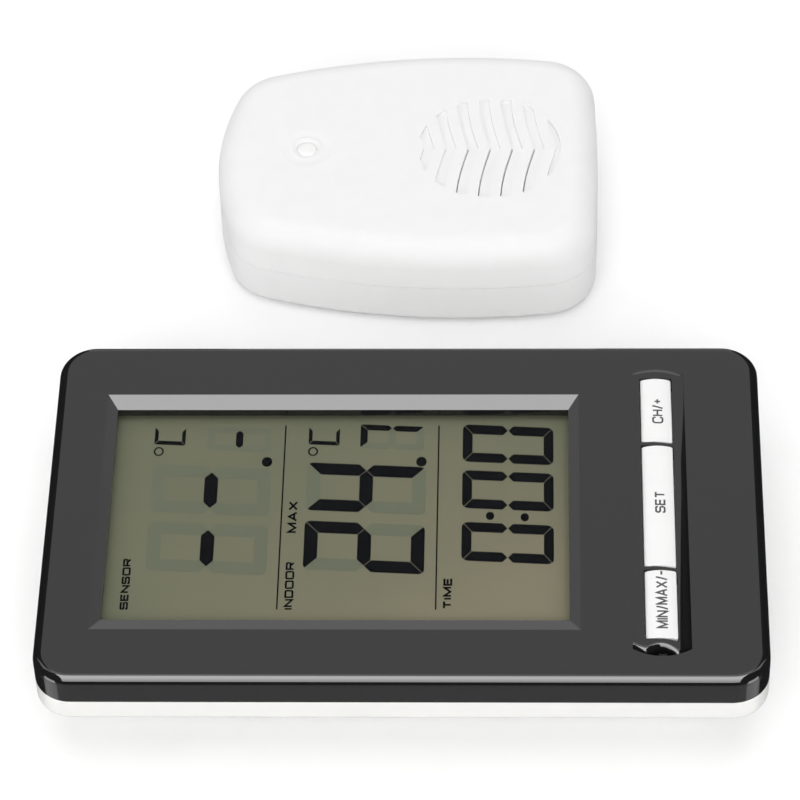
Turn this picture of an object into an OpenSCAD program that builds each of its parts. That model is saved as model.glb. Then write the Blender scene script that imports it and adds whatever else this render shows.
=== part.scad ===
// Maximum minimum thermometer: a display unit and the wireless remote sensor that belongs to it.
// Millimetres. The table top is Z = 0, the display's middle is X = Y = 0, and the sensor lies behind it.
// The display lies on its back, with its upper edge towards -X and its keys towards +X.

/* [Display case] */
// Width of the display, across the table
display_w = 116; // [114:1:120]
// Depth of the display, away from the viewer
display_d = 71; // [70:1:74]
// Whole height of the display when it lies on its back
display_h = 20; // [20:0.1:20.4]
// Plan radius of the case's corners
corner_r = 6; // [5:0.5:7]
// Radius that rounds the front edge of the bezel
edge_r = 2; // [1:0.25:2.25]
// Height of the black bezel, down to the parting line
bezel_h = 5.4; // [5.2:0.1:5.6]
// Height of the white rim below the parting line
band_h = 4.5; // [4.2:0.1:4.8]
// Wall of the mouldings
wall = 1.6; // [1.4:0.1:1.6]
// Thickness of the bezel's face around the window
face_t = 2.3; // [2.2:0.05:2.4]
// Size of the raised back that stands on the table
back_size = [100, 54]; // [50:1:110]

/* [Window and keys] */
// Clear opening over the liquid crystal panel
window_size = [74.4, 44.4]; // [40:0.1:76]
// Middle of the window
window_at = [-10.6, -0.4]; // [-12:0.1:0]
// Width of the sloping border, at the sides and at the ends
window_slope = [1.7, 2.6]; // [1:0.1:3]
// Depth of the sloping border
slope_drop = 0.9; // [0.6:0.1:1.1]
// Middle of the key trough
trough_at = [41.05, -0.25]; // [-1:0.05:42]
// Width and length of the key trough
trough_size = [9.3, 60.3]; // [9:0.1:61]
// Radius of the rounded ridge that the keys are part of
ridge_r = 7; // [6:0.5:8]
// Width of the key caps
key_w = 5.05; // [4.8:0.05:5.1]
// Lengths of the keys, from the far end
key_lengths = [13.7, 25.3, 13.7]; // [12:0.1:26]
// Y of the far end of the first key
keys_far_y = 27.9; // [27.5:0.1:28.1]
// Gap between neighbouring keys
key_gap = 0.95; // [0.8:0.05:1]
// Travel of a key
key_travel = 0.4; // [0.2:0.05:0.4]

/* [Stand and wall hole] */
// Width and length of the fold-out stand leg
leg_size = [40, 28]; // [24:1:40]
// X of the stand's hinge pins
leg_pivot_x = 46; // [45:0.5:46]
// Radius of the hinge pins
leg_pin_r = 0.9; // [0.8:0.05:1]
// Radius of the display's wall hole, and half the width of its slot
display_keyhole = [3.6, 1.9]; // [1.5:0.1:3.8]
// Radius of the sensor's wall hole, and half the width of its slot
sensor_keyhole = [3.2, 1.7]; // [1.5:0.1:3.4]

/* [Remote sensor] */
// Height of the sensor
sensor_h = 17.7; // [17.5:0.1:18.5]
// Height of the seam between the sensor's shells
sensor_seam_z = 8.65; // [8:0.05:9]
// X of the sensor's left and right ends
sensor_ends = [-34.5, 32.2]; // [-35:0.1:33]
// Half the sensor's depth at its deepest place
sensor_half_d = 25.5; // [25:0.1:26]
// Y of the sensor's centre line
sensor_y = 84.4; // [80:0.1:90]
// X where the sensor is deepest
sensor_deep_x = 8.3; // [7:0.1:10]
// Plan radii of the long sides, the left end and the right end
sensor_bulge = [124, 44, 300]; // [40:1:320]
// Plan radius of the sensor's corners
sensor_corner_r = 9.2; // [8.5:0.1:9.5]
// Radii that round the upper and the lower edge
sensor_edges = [4.7, 2.2]; // [2:0.1:5]
// Middle and radius of the air grille
grille = [13.2, 12.1]; // [12:0.1:14]
// Number of grille slots
grille_slots = 7; // [7:2:7]
// Spacing and width of the grille slots
grille_pitch = [3.86, 1.86]; // [1.5:0.01:4]
// X of the signal light
light_x = -18.8; // [-19:0.1:-18]

/* [Cells] */
// Radius of a size AAA cell
cell_r = 5.25; // [5.1:0.05:5.25]
// Length of a size AAA cell with its button
cell_len = 44.5; // [44:0.1:44.5]
// Spacing of the two cells in a bay
cell_pitch = 10.9; // [10.8:0.05:10.9]
// Length of a battery bay
bay_len = 51; // [50.5:0.1:51]

/* [Hidden] */
$fn = 64;
gap = 0.1;
part_z = display_h - bezel_h;
band_z = part_z - band_h;
face_z = display_h - face_t;
back_r = 6;
back_edge_r = 1;
rim_wall = wall + 0.9;
tongue_h = 1.2;

// Liquid crystal panel, from the face down
glass_t = 1.1;
glass_size = [78.4, 49];
rear_glass_d = 43.4;
reflector_t = 0.2;
strip_w = 1.8;
panel_wall = 1.2;

// Main circuit board
board_t = 1.2;
board_z = 12.7;
board_size = [96, 60];
board_top = board_z + board_t;
board_screws_at = [for (x = [-44, 33.6], y = [-28.4, 28.4]) [x, y]];
case_screws_at = [for (x = [-51.8, 51.8], y = [-30.2, 30.2]) [x, y]];

// Keys and the switches under them
key_y = [for (i = 0, y = keys_far_y; i < 3; y = y - key_lengths[i] - key_gap, i = i + 1)
    y - key_lengths[i] / 2];
ridge_drop = 0.4;
trough_depth = 1.8;
trough_sagitta = 1.4;
pad_t = 0.7;
pad_z = face_z - pad_t;
flange_t = 0.8;
flange_w = 6.8;
switch_w = 4.5;
switch_h = 2;
switch_floor = 0.5;
plunger_r = 1.2;
cap_z = 16.5;

// Battery bays
cell_z = 7.1;
door_z = [0.1, 1.5];
door_tongue = [0.8, 0.6, 1.1];
door_gap = 0.15;
contact_t = 0.4;
bay_wall_top = 12.3;
display_bay = [-11.5, 14.15];
display_door_y = [3.4, back_size[1] / 2];
sensor_bay = [4.1, sensor_y];
sensor_door_y = [sensor_y - 12, sensor_y + 16.5];
wire_r = 0.3;

// Vents beside the room thermistor
vent_x = -45.4;
vent_pitch = 2.5;
vent_z = 6;
vent_size = [1.2, 5];

// Stand leg
leg_t = [0.2, 1.8];
leg_pin_z = 1.7;
leg_barrel_r = 1.5;
leg_gap = 0.3;
display_hole_x = -43;
sensor_hole_x = -27;

// Sensor
sensor_wall = 1.6;
sensor_board_z = [12.8, 13.8];
sensor_board_box = [[-21.8, sensor_y - 16.5], [28, sensor_y + 16.5]];
sensor_board_screws_at = [for (s = [-1, 1]) [-12, sensor_y + s * 14.2]];
sensor_screws_at = [for (s = [-1, 1], p = [[-24.5, 14.4], [22, 19.9]]) [p[0], sensor_y + s * p[1]]];
selector_at = [0, sensor_y + 13.6];
selector_travel = 4;

// ---- Shared shapes ----

// Rectangle with round corners
module rounded_rect(size, r) {
    square([size[0] - 2 * r, size[1]], center = true);
    square([size[0], size[1] - 2 * r], center = true);
    for (x = [-1, 1], y = [-1, 1])
        translate([x * (size[0] / 2 - r), y * (size[1] / 2 - r)])
            circle(r);
}

// Plain slab between two heights
module slab(size, r, z0, z1) {
    translate([0, 0, z0])
        linear_extrude(z1 - z0)
            rounded_rect(size, r);
}

// Slab from Z = 0 upwards whose upper edge is rounded
module soft_slab(size, r, h, edge) {
    slab(size, r, 0, h - edge);
    slab([size[0] - 2 * edge, size[1] - 2 * edge], r - edge, 0, h);
    for (s = [-1, 1]) {
        translate([0, s * (size[1] / 2 - edge), h - edge])
            rotate([0, 90, 0])
                cylinder(r = edge, h = size[0] - 2 * r, center = true);
        translate([s * (size[0] / 2 - edge), 0, h - edge])
            rotate([90, 0, 0])
                cylinder(r = edge, h = size[1] - 2 * r, center = true);
    }
    for (x = [-1, 1], y = [-1, 1])
        translate([x * (size[0] / 2 - r), y * (size[1] / 2 - r), h - edge])
            rotate_extrude()
                translate([r - edge, 0])
                    circle(edge);
}

// Box given by its lowest and highest corners
module block(low, high) {
    translate(low)
        cube(high - low);
}

module post(at, r, z0, z1) {
    translate([at[0], at[1], z0])
        cylinder(r = r, h = z1 - z0);
}

// Pan-head screw that points up, with a cross recess in its head
module screw(at, head_r, head_h, shank_r, z0, z1) {
    difference() {
        union() {
            post(at, head_r, z0, z0 + head_h);
            post(at, shank_r, z0 + head_h, z1);
        }
        for (size = [[head_r * 1.2, 0.4, 0.8], [0.4, head_r * 1.2, 0.8]])
            translate([at[0], at[1], z0])
                cube(size, center = true);
    }
}

// Round hole with a narrower slot that runs towards -X
module keyhole(x, y, radii, reach) {
    translate([x, y, -1])
        cylinder(r = radii[0], h = wall + 2);
    translate([x - reach, y, -1])
        cylinder(r = radii[1], h = wall + 2);
    block([x - reach, y - radii[1], -1], [x, y + radii[1], wall + 1]);
}

// Coil of round wire along +X, whose radius runs from r0 to r1
module coil(r0, r1, length, turns, wire) {
    sides = 6;
    steps = turns * 12;
    points = [for (i = [0:steps], j = [0:sides - 1])
        let (t = i / steps, a = 360 * turns * t, b = 360 * j / sides)
        let (r = r0 + (r1 - r0) * t + wire * cos(b))
        [length * t + wire * sin(b), r * cos(a), r * sin(a)]];
    bands = [for (i = [0:steps - 1], j = [0:sides - 1])
        let (k = (j + 1) % sides)
        [i * sides + j, i * sides + k, (i + 1) * sides + k, (i + 1) * sides + j]];
    first = [for (j = [sides - 1:-1:0]) j];
    last = [for (j = [0:sides - 1]) steps * sides + j];
    polyhedron(points, concat(bands, [first], [last]), convexity = 6);
}

// ---- Battery bay pieces, shared by the display and the sensor ----

// AAA cell along X; side is the end that holds the button
module cell(bay, row, side) {
    can_len = cell_len - 1.2;
    translate([bay[0], bay[1] + row * cell_pitch / 2, cell_z])
        rotate([0, side * 90, 0])
            union() {
                translate([0, 0, -cell_len / 2])
                    cylinder(r = cell_r, h = can_len);
                translate([0, 0, cell_len / 2 - 1.2])
                    cylinder(r = 1.9, h = 1.2);
            }
}

// Sprung terminal for the flat end of a cell
module spring_terminal(bay, row, side) {
    reach = (bay_len - cell_len) / 2 - contact_t - 2 * gap;
    x = bay[0] + side * (bay_len / 2 - contact_t - gap);
    translate([x, bay[1] + row * cell_pitch / 2, cell_z])
        mirror([side > 0 ? 1 : 0, 0, 0])
            translate([wire_r * 0.9, 0, 0])
                coil(3.6, 2.3, reach - 2 * wire_r, 3, wire_r);
}

// Pressed button for the positive end of a cell
module button_terminal(bay, row, side) {
    reach = (bay_len - cell_len) / 2 - contact_t - 2 * gap;
    x = bay[0] + side * (bay_len / 2 - contact_t - gap);
    translate([x, bay[1] + row * cell_pitch / 2, cell_z])
        rotate([0, -side * 90, 0])
            cylinder(r1 = 2.6, r2 = 1.6, h = reach);
}

// Flat plate of a terminal, with a tail up to the board
module terminal_plate(bay, rows, side, top) {
    x0 = bay[0] + side * (bay_len / 2 - contact_t / 2 - gap);
    y0 = bay[1] + min(rows) * cell_pitch / 2;
    y1 = bay[1] + max(rows) * cell_pitch / 2;
    block([x0 - contact_t / 2, y0 - 4.3, cell_z - 4.3], [x0 + contact_t / 2, y1 + 4.3, cell_z + 4.3]);
    block([x0 - contact_t / 2, y0 - 1, cell_z], [x0 + contact_t / 2, y0 + 1, top]);
}

module link_contact(bay) {
    terminal_plate(bay, [-1, 1], 1, cell_z + 4.3);
    button_terminal(bay, -1, 1);
    spring_terminal(bay, 1, 1);
}

module negative_contact(bay, top) {
    terminal_plate(bay, [-1], -1, top);
    spring_terminal(bay, -1, -1);
}

module positive_contact(bay, top) {
    terminal_plate(bay, [1], -1, top);
    button_terminal(bay, 1, -1);
}

// ---- Display: case ----

// Outer form of the raised back
module back_form() {
    translate([0, 0, band_z + wall])
        mirror([0, 0, 1])
            soft_slab(back_size, back_r, band_z + wall, back_edge_r);
}

// Prism along Y whose width grows from w at the bottom of the slope to its top
module slope_prism(w, slope, length) {
    rotate([90, 0, 0])
        linear_extrude(length, center = true)
            polygon([
                [-w / 2, -slope_drop],
                [w / 2, -slope_drop],
                [w / 2 + slope, 0],
                [w / 2 + slope, 1],
                [-w / 2 - slope, 1],
                [-w / 2 - slope, 0],
            ]);
}

module window_cut() {
    translate([window_at[0], window_at[1], display_h]) {
        cube([window_size[0], window_size[1], 3 * face_t], center = true);
        intersection() {
            slope_prism(window_size[0], window_slope[0], display_d);
            rotate([0, 0, 90])
                slope_prism(window_size[1], window_slope[1], display_w);
        }
    }
}

// Plan of the key trough: straight sides and gently arched ends
module trough_plan() {
    half = trough_size[0] / 2;
    arch_r = (half * half + trough_sagitta * trough_sagitta) / (2 * trough_sagitta);
    intersection() {
        square(trough_size, center = true);
        union() {
            square([trough_size[0], trough_size[1] - 2 * trough_sagitta], center = true);
            for (s = [-1, 1])
                translate([0, s * (trough_size[1] / 2 - arch_r)])
                    circle(arch_r);
        }
    }
}

// Half-round rod along Y whose top is at the given height
module ridge_rod(top) {
    translate([trough_at[0], trough_at[1], top - ridge_r])
        rotate([90, 0, 0])
            cylinder(r = ridge_r, h = trough_size[1] - 2.4, center = true);
}

module trough_cut() {
    difference() {
        translate([trough_at[0], trough_at[1], display_h - trough_depth])
            linear_extrude(trough_depth + 1)
                trough_plan();
        ridge_rod(display_h - ridge_drop);
    }
}

module key_slot(i) {
    slot_w = key_w + 0.3;
    slot_l = key_lengths[i] + 0.3;
    translate([trough_at[0], key_y[i], display_h])
        cube([slot_w, slot_l, 2 * (face_t + pad_t) + 1], center = true);
}

module front_bezel() {
    inner = [display_w - 2 * wall, display_d - 2 * wall];
    color("#2b2b2e")
        difference() {
            union() {
                difference() {
                    translate([0, 0, part_z])
                        soft_slab([display_w, display_d], corner_r, bezel_h, edge_r);
                    slab(inner, corner_r - wall, part_z - 1, face_z);
                }
                translate([trough_at[0], trough_at[1], pad_z + pad_t / 2 + 0.05])
                    cube([trough_size[0] + 2, trough_size[1] + 2, pad_t + 0.1], center = true);
                for (at = board_screws_at)
                    post(at, 1.9, board_top, face_z + 0.1);
                for (at = case_screws_at)
                    post(at, 2.6, 13, face_z + 0.1);
            }
            window_cut();
            trough_cut();
            for (i = [0:2])
                key_slot(i);
            for (at = board_screws_at)
                post(at, 0.85, board_top - 1, 17.2);
            for (at = case_screws_at)
                post(at, 0.95, 12, 17.4);
        }
}

// Walls, floor and bosses of the rear housing before its openings are cut
module rear_housing_form() {
    rim_inner = [display_w - 2 * rim_wall, display_d - 2 * rim_wall];
    tongue_outer = [display_w - 2 * wall - 2 * gap, display_d - 2 * wall - 2 * gap];
    back_inner = [back_size[0] - 2 * wall, back_size[1] - 2 * wall];
    difference() {
        union() {
            translate([0, 0, part_z])
                mirror([0, 0, 1])
                    soft_slab([display_w, display_d], corner_r, band_h, 1);
            slab(tongue_outer, corner_r - wall - gap, part_z - 1, part_z + tongue_h);
            back_form();
        }
        slab(rim_inner, corner_r - rim_wall, band_z + wall, part_z + tongue_h + 1);
        slab(back_inner, back_r - wall, wall, band_z + wall + 1);
    }
    for (at = case_screws_at)
        post(at, 3.2, band_z + 0.5, 12.9);
    bay_walls();
    leg_pocket_form();
}

// Ribs that close the battery bay
module bay_walls() {
    x0 = display_bay[0] - bay_len / 2;
    x1 = display_bay[0] + bay_len / 2;
    y1 = back_size[1] / 2 - wall + 0.1;
    for (x = [x0 - 1.5, x1])
        block([x, 1.6, wall - 0.1], [x + 1.5, y1, bay_wall_top]);
    block([x0 - 1.5, 1.6, wall - 0.1], [x1 + 1.5, 2.9, bay_wall_top]);
}

// Raised floor over the folded stand leg
module leg_pocket_form() {
    half = leg_size[0] / 2 + leg_gap + wall;
    x0 = leg_pivot_x - leg_size[1] - leg_gap - 1.5;
    block([x0, -half, 0.5], [back_size[0] / 2 - 0.6, half, 4]);
    block([leg_pivot_x - 4, -half, 0.5], [back_size[0] / 2 - 0.6, half, 5.2]);
}

module leg_pocket_cut() {
    half = leg_size[0] / 2 + leg_gap;
    block([leg_pivot_x - leg_size[1] - leg_gap, -half, -1], [leg_pivot_x, half, 2.1]);
    translate([leg_pivot_x, 0, leg_pin_z])
        rotate([90, 0, 0])
            cylinder(r = leg_barrel_r + leg_gap, h = 2 * half, center = true);
    block([leg_pivot_x - leg_barrel_r - leg_gap, -half, -1],
        [leg_pivot_x + leg_barrel_r + leg_gap, half, leg_pin_z]);
    translate([leg_pivot_x, 0, leg_pin_z])
        rotate([90, 0, 0])
            cylinder(r = leg_pin_r + 0.05, h = 2 * (half + wall + 1), center = true);
    // Finger notch at the leg's free end
    translate([leg_pivot_x - leg_size[1], 0, -3.5])
        sphere(r = 5);
}

// Opening for the battery door, with a groove along each side
module door_opening() {
    x0 = display_bay[0] - bay_len / 2 - door_gap;
    x1 = display_bay[0] + bay_len / 2 + door_gap;
    y0 = display_door_y[0] - 0.2;
    y1 = display_door_y[1] + 1;
    block([x0, y0, -1], [x1, y1, wall + 0.001]);
    block([x0 - door_tongue[0], y0, door_tongue[1] - gap], [x1 + door_tongue[0], y1, door_tongue[2] + gap]);
}

module rear_housing() {
    color("#f2f2f0")
        difference() {
            rear_housing_form();
            door_opening();
            leg_pocket_cut();
            keyhole(display_hole_x, 0, display_keyhole, 3.3);
            for (at = case_screws_at) {
                post(at, 2.1, band_z - 1, band_z + 1.3);
                post(at, 1.15, band_z, 13);
            }
            for (i = [0:4])
                translate([vent_x + vent_pitch * i, -back_size[1] / 2, vent_z])
                    cube([vent_size[0], 2 * wall + 2, vent_size[1]], center = true);
        }
}

module display_battery_door() {
    x0 = display_bay[0] - bay_len / 2;
    x1 = display_bay[0] + bay_len / 2;
    y0 = display_door_y[0];
    y1 = display_door_y[1];
    color("#ececea")
        difference() {
            union() {
                intersection() {
                    back_form();
                    block([x0, y0, door_z[0]], [x1, y1, door_z[1]]);
                }
                for (x = [x0 - door_tongue[0] + 0.1, x1 - 0.1])
                    block([x, y0, door_tongue[1]], [x + door_tongue[0], y1 - 1, door_tongue[2]]);
            }
            for (i = [0:3])
                block([display_bay[0] - 8, y1 - 7 + i * 1.4, 0], [display_bay[0] + 8, y1 - 6.3 + i * 1.4, 0.4]);
        }
}

module stand_leg() {
    half = leg_size[0] / 2;
    x0 = leg_pivot_x - leg_size[1];
    color("#ececea")
        difference() {
            union() {
                block([x0, -half, leg_t[0]], [leg_pivot_x, half, leg_t[1]]);
                translate([leg_pivot_x, 0, leg_pin_z])
                    rotate([90, 0, 0])
                        cylinder(r = leg_barrel_r, h = 2 * half, center = true);
                translate([leg_pivot_x, 0, leg_pin_z])
                    rotate([90, 0, 0])
                        cylinder(r = leg_pin_r, h = 2 * half + 2.6, center = true);
            }
            // Anti-slip grooves near the free end
            for (i = [0:2])
                block([x0 + 2 + 1.6 * i, -half + 4, 0], [x0 + 2.8 + 1.6 * i, -7, 0.5]);
            for (i = [0:2])
                block([x0 + 2 + 1.6 * i, 7, 0], [x0 + 2.8 + 1.6 * i, half - 4, 0.5]);
        }
}

// ---- Display: liquid crystal panel ----

module lcd_front_glass() {
    color("#8d8e76")
        translate([window_at[0], window_at[1], face_z - glass_t / 2])
            cube([glass_size[0], glass_size[1], glass_t], center = true);
}

module lcd_rear_glass() {
    color("#7f806a")
        translate([window_at[0], window_at[1], face_z - 1.5 * glass_t])
            cube([glass_size[0], rear_glass_d, glass_t], center = true);
}

module lcd_reflector() {
    color("#9b9c84")
        translate([window_at[0], window_at[1], face_z - 2 * glass_t - reflector_t / 2])
            cube([glass_size[0] - 1, rear_glass_d - 1, reflector_t], center = true);
}

module lcd_frame() {
    outer = [glass_size[0] + 2 * panel_wall + 0.4, glass_size[1] + 2 * panel_wall + 0.4];
    color("#d9d9d4")
        translate([window_at[0], window_at[1], 0])
            difference() {
                slab(outer, 1, board_top, face_z - gap / 2);
                slab([glass_size[0] + 0.4, glass_size[1] + 0.4], 0.3, board_top - 1, face_z + 1);
            }
}

// Conductive rubber strips between the glass ledges and the board
module lcd_connector_strips() {
    color("#3c3c3c")
        for (s = [-1, 1])
            translate([window_at[0], window_at[1] + s * (rear_glass_d / 2 + 0.2 + strip_w / 2),
                    (board_top + face_z - glass_t) / 2])
                cube([66, strip_w, face_z - glass_t - board_top], center = true);
}

// ---- Display: keys ----

module key(i) {
    length = key_lengths[i];
    translate([trough_at[0], key_y[i], 0])
        difference() {
            union() {
                intersection() {
                    translate([0, 0, (cap_z + display_h) / 2])
                        cube([key_w, length, display_h - cap_z], center = true);
                    translate([0, 0, display_h - ridge_r])
                        rotate([90, 0, 0])
                            cylinder(r = ridge_r, h = length + 1, center = true);
                }
                translate([0, 0, pad_z - gap - flange_t / 2])
                    cube([flange_w, length - 1, flange_t], center = true);
            }
            translate([0, 0, cap_z - 1])
                cube([switch_w + 0.6, switch_w + 1.1, 2], center = true);
        }
}

module plunger(i) {
    post([trough_at[0], key_y[i]], plunger_r, board_top + switch_floor + key_travel + 0.2, cap_z - 0.02);
}

module switch_body(i) {
    translate([trough_at[0], key_y[i], board_top])
        difference() {
            translate([-switch_w / 2, -switch_w / 2, 0])
                cube([switch_w, switch_w, switch_h]);
            translate([0, 0, switch_floor])
                cylinder(r = plunger_r + 0.1, h = switch_h);
        }
}

// ---- Display: electronics ----

module main_board() {
    color("#2f6b3d")
        difference() {
            slab(board_size, 1, board_z, board_top);
            for (at = board_screws_at)
                post(at, 0.95, board_z - 1, board_top + 1);
        }
}

module board_screws() {
    color("#c4c6c8")
        for (at = board_screws_at)
            screw(at, 1.6, 0.9, 0.8, board_z - 0.9, 16.9);
}

module case_screws() {
    color("#c4c6c8")
        for (at = case_screws_at)
            screw(at, 1.9, 1.1, 0.9, band_z + 0.15, 17);
}

// Domed black potting over the controller
module controller_chip() {
    color("#1c1c1c")
        intersection() {
            translate([24, -8, board_z + 4.6])
                sphere(r = 6);
            block([14, -18, board_z - 3], [34, 2, board_z]);
        }
}

module clock_crystal() {
    color("#b9bcc0")
        translate([28, 8, board_z - 1.2]) {
            rotate([0, 90, 0])
                cylinder(r = 1, h = 6);
            for (y = [-0.5, 0.5])
                translate([-0.6, y, 0])
                    cylinder(r = 0.2, h = 1.2);
            for (y = [-0.5, 0.5])
                translate([-0.8, y, 0])
                    rotate([0, 90, 0])
                        cylinder(r = 0.2, h = 1);
        }
}

// Bead thermistor on two legs that point down from z_top
module thermistor(at, z_top, z_bead) {
    translate([at[0], at[1], z_bead])
        sphere(r = 1);
    for (s = [-0.6, 0.6])
        post([at[0] + s, at[1]], 0.25, min(z_bead, z_top), max(z_bead, z_top));
}

module room_thermistor() {
    color("#2a2f38")
        thermistor([-42, -21], board_z, 6.5);
}

module receiver_module() {
    color("#2f5d8a") {
        block([-32, -22, 10.2], [-12, -12, 11.2]);
        block([-28, -20, 8.4], [-21, -14, 10.25]);
        for (i = [0:3])
            post([-30.5 + 2.5 * i, -13], 0.3, 11, board_z);
    }
}

// Coil aerial along X with its foot at the high X end
module antenna(x0, x1, y, z, z_top) {
    translate([x0, y, z])
        coil(2.2, 2.2, x1 - x0, 8, wire_r);
    post([x1, y + 2.2], wire_r, z, z_top);
}

module receiver_antenna() {
    color("#b8733a")
        antenna(-6, 11, -18, 7, board_z);
}

// ---- Remote sensor ----

// Plan of the sensor, drawn inwards by inset
module sensor_plan(inset) {
    c = sensor_corner_r;
    offset(r = c - inset, $fn = 40)
        intersection() {
            translate([sensor_deep_x, sensor_y + sensor_bulge[0] - sensor_half_d])
                circle(sensor_bulge[0] - c, $fn = 240);
            translate([sensor_deep_x, sensor_y - sensor_bulge[0] + sensor_half_d])
                circle(sensor_bulge[0] - c, $fn = 240);
            translate([sensor_ends[0] + sensor_bulge[1], sensor_y])
                circle(sensor_bulge[1] - c, $fn = 72);
            translate([sensor_ends[1] - sensor_bulge[2], sensor_y])
                circle(sensor_bulge[2] - c, $fn = 360);
        }
}

// The sensor's rounded form, drawn inwards by inset
module sensor_form(inset) {
    upper = sensor_edges[0];
    lower = sensor_edges[1];
    slice = 0.2;
    hull() {
        translate([0, 0, lower])
            linear_extrude(sensor_h - upper - lower)
                sensor_plan(inset);
        for (a = [18:18:90]) {
            translate([0, 0, sensor_h - upper + (upper - inset) * sin(a) - slice])
                linear_extrude(slice)
                    sensor_plan(inset + (upper - inset) * (1 - cos(a)));
            translate([0, 0, lower - (lower - inset) * sin(a)])
                linear_extrude(slice)
                    sensor_plan(inset + (lower - inset) * (1 - cos(a)));
        }
    }
}

// Sideways shift of a grille slot's edge at height t, from -1 at its near end to 1 at its far end
function slot_sway(t) = 2 * (1 - sin(90 * abs(t)));

// Wavy strip of the given width about x, cut off by a circle
module grille_strip(x, width, low, high) {
    r = grille[1];
    steps = 12;
    left = [for (i = [0:steps])
        let (t = low + (high - low) * i / steps)
        [x - width / 2 + slot_sway(t), r * t]];
    right = [for (i = [steps:-1:0])
        let (t = low + (high - low) * i / steps)
        [x + width / 2 + slot_sway(t), r * t]];
    translate([grille[0], sensor_y])
        intersection() {
            circle(r);
            polygon(concat(left, right));
        }
}

module grille_cuts() {
    middle = (grille_slots - 1) / 2;
    for (i = [0:grille_slots - 1]) {
        x = (i - middle) * grille_pitch[0] - 1;
        translate([0, 0, sensor_h - 0.7])
            linear_extrude(2)
                grille_strip(x, grille_pitch[1], -1, 1);
        if (abs(i - middle) < 2.5)
            translate([0, 0, sensor_h - 3])
                linear_extrude(4)
                    grille_strip(x - grille_pitch[1] / 2 + 0.35, 0.7, -0.72, 0.05);
    }
}

module sensor_front_shell() {
    color("#f6f6f5")
        difference() {
            union() {
                difference() {
                    sensor_form(0);
                    sensor_form(sensor_wall);
                    block([-50, sensor_y - 40, -1], [50, sensor_y + 40, sensor_seam_z]);
                }
                for (at = sensor_screws_at)
                    post(at, 2.2, sensor_seam_z + gap, sensor_h - sensor_wall + 0.1);
                for (at = sensor_board_screws_at)
                    post(at, 1.8, sensor_board_z[1], sensor_h - sensor_wall + 0.1);
                post([light_x, sensor_y], 2.9, sensor_h - sensor_wall - 0.6, sensor_h - 0.2);
            }
            grille_cuts();
            // Shallow dish around the signal light
            translate([light_x, sensor_y, sensor_h + 29.65])
                sphere(r = 30, $fn = 96);
            post([light_x, sensor_y], 1.75, sensor_h - 4, sensor_h + 1);
            for (at = sensor_screws_at)
                post(at, 0.95, sensor_seam_z - 1, sensor_h - 2.4);
            for (at = sensor_board_screws_at)
                post(at, 0.85, sensor_board_z[1] - 1, sensor_h - 1);
        }
}

module sensor_door_opening() {
    x0 = sensor_bay[0] - bay_len / 2 - 0.5;
    y0 = sensor_door_y[0] - door_gap;
    y1 = sensor_door_y[1] + door_gap;
    block([x0, y0, -1], [50, y1, sensor_wall + 0.001]);
    block([x0, y0 - door_tongue[0], door_tongue[1] - gap], [50, y1 + door_tongue[0], door_tongue[2] + gap]);
}

// Ribs that close the sensor's battery bay and the pocket of its channel selector
module sensor_bay_walls() {
    x0 = sensor_bay[0] - bay_len / 2 - 1.4;
    z0 = sensor_wall - 0.1;
    block([x0, sensor_y - 12.3, z0], [x0 + 1.4, sensor_y + 11.5, bay_wall_top]);
    block([x0, sensor_y - 12.3, z0], [30.3, sensor_y - 11.1, bay_wall_top]);
    block([x0, sensor_door_y[1] + 0.1, z0], [30, sensor_door_y[1] + 0.9, bay_wall_top]);
}

module sensor_rear_shell() {
    lip = sensor_wall + gap;
    color("#f4f4f3")
        difference() {
            union() {
                difference() {
                    sensor_form(0);
                    sensor_form(sensor_wall);
                    block([-50, sensor_y - 40, sensor_seam_z], [50, sensor_y + 40, 40]);
                }
                translate([0, 0, sensor_seam_z - 1])
                    linear_extrude(2)
                        difference() {
                            sensor_plan(lip);
                            sensor_plan(lip + 0.8);
                            for (at = sensor_screws_at)
                                translate(at)
                                    circle(2.4);
                        }
                for (at = sensor_screws_at)
                    post(at, 2.2, sensor_wall - 0.1, sensor_seam_z);
                sensor_bay_walls();
            }
            sensor_door_opening();
            keyhole(sensor_hole_x, sensor_y, sensor_keyhole, 2.6);
            for (at = sensor_screws_at) {
                post(at, 1.9, -1, 3);
                post(at, 1.15, -1, sensor_seam_z + 1);
            }
        }
}

module sensor_battery_door() {
    x0 = sensor_bay[0] - bay_len / 2 - 0.3;
    color("#ececea")
        difference() {
            union() {
                intersection() {
                    sensor_form(0);
                    block([x0, sensor_door_y[0], door_z[0]], [50, sensor_door_y[1], door_z[1]]);
                }
                for (y = [sensor_door_y[0] - door_tongue[0] + 0.1, sensor_door_y[1] - 0.1])
                    block([x0, y, door_tongue[1]], [28, y + door_tongue[0], door_tongue[2]]);
            }
            for (i = [0:3])
                block([22 + i * 1.4, sensor_y - 6, 0], [22.7 + i * 1.4, sensor_y + 10, 0.4]);
        }
}

// Clear cap of the signal light: a flanged pin with a domed end
module sensor_lens() {
    color("#f8f8f6") {
        post([light_x, sensor_y], 1.65, 15.6, sensor_h - 0.4);
        intersection() {
            translate([light_x, sensor_y, sensor_h - 3.2])
                sphere(r = 3.2);
            post([light_x, sensor_y], 1.65, sensor_h - 1.2, sensor_h + 1);
        }
    }
}

module sensor_led() {
    color("#d94a3a") {
        post([light_x, sensor_y], 1.45, sensor_board_z[1], 14.3);
        post([light_x, sensor_y], 1.2, 14.2, 15.5);
    }
}

module sensor_board() {
    color("#2f6b3d")
        difference() {
            block([sensor_board_box[0][0], sensor_board_box[0][1], sensor_board_z[0]],
                [sensor_board_box[1][0], sensor_board_box[1][1], sensor_board_z[1]]);
            for (at = sensor_board_screws_at)
                post(at, 0.95, sensor_board_z[0] - 1, sensor_board_z[1] + 1);
        }
}

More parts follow.
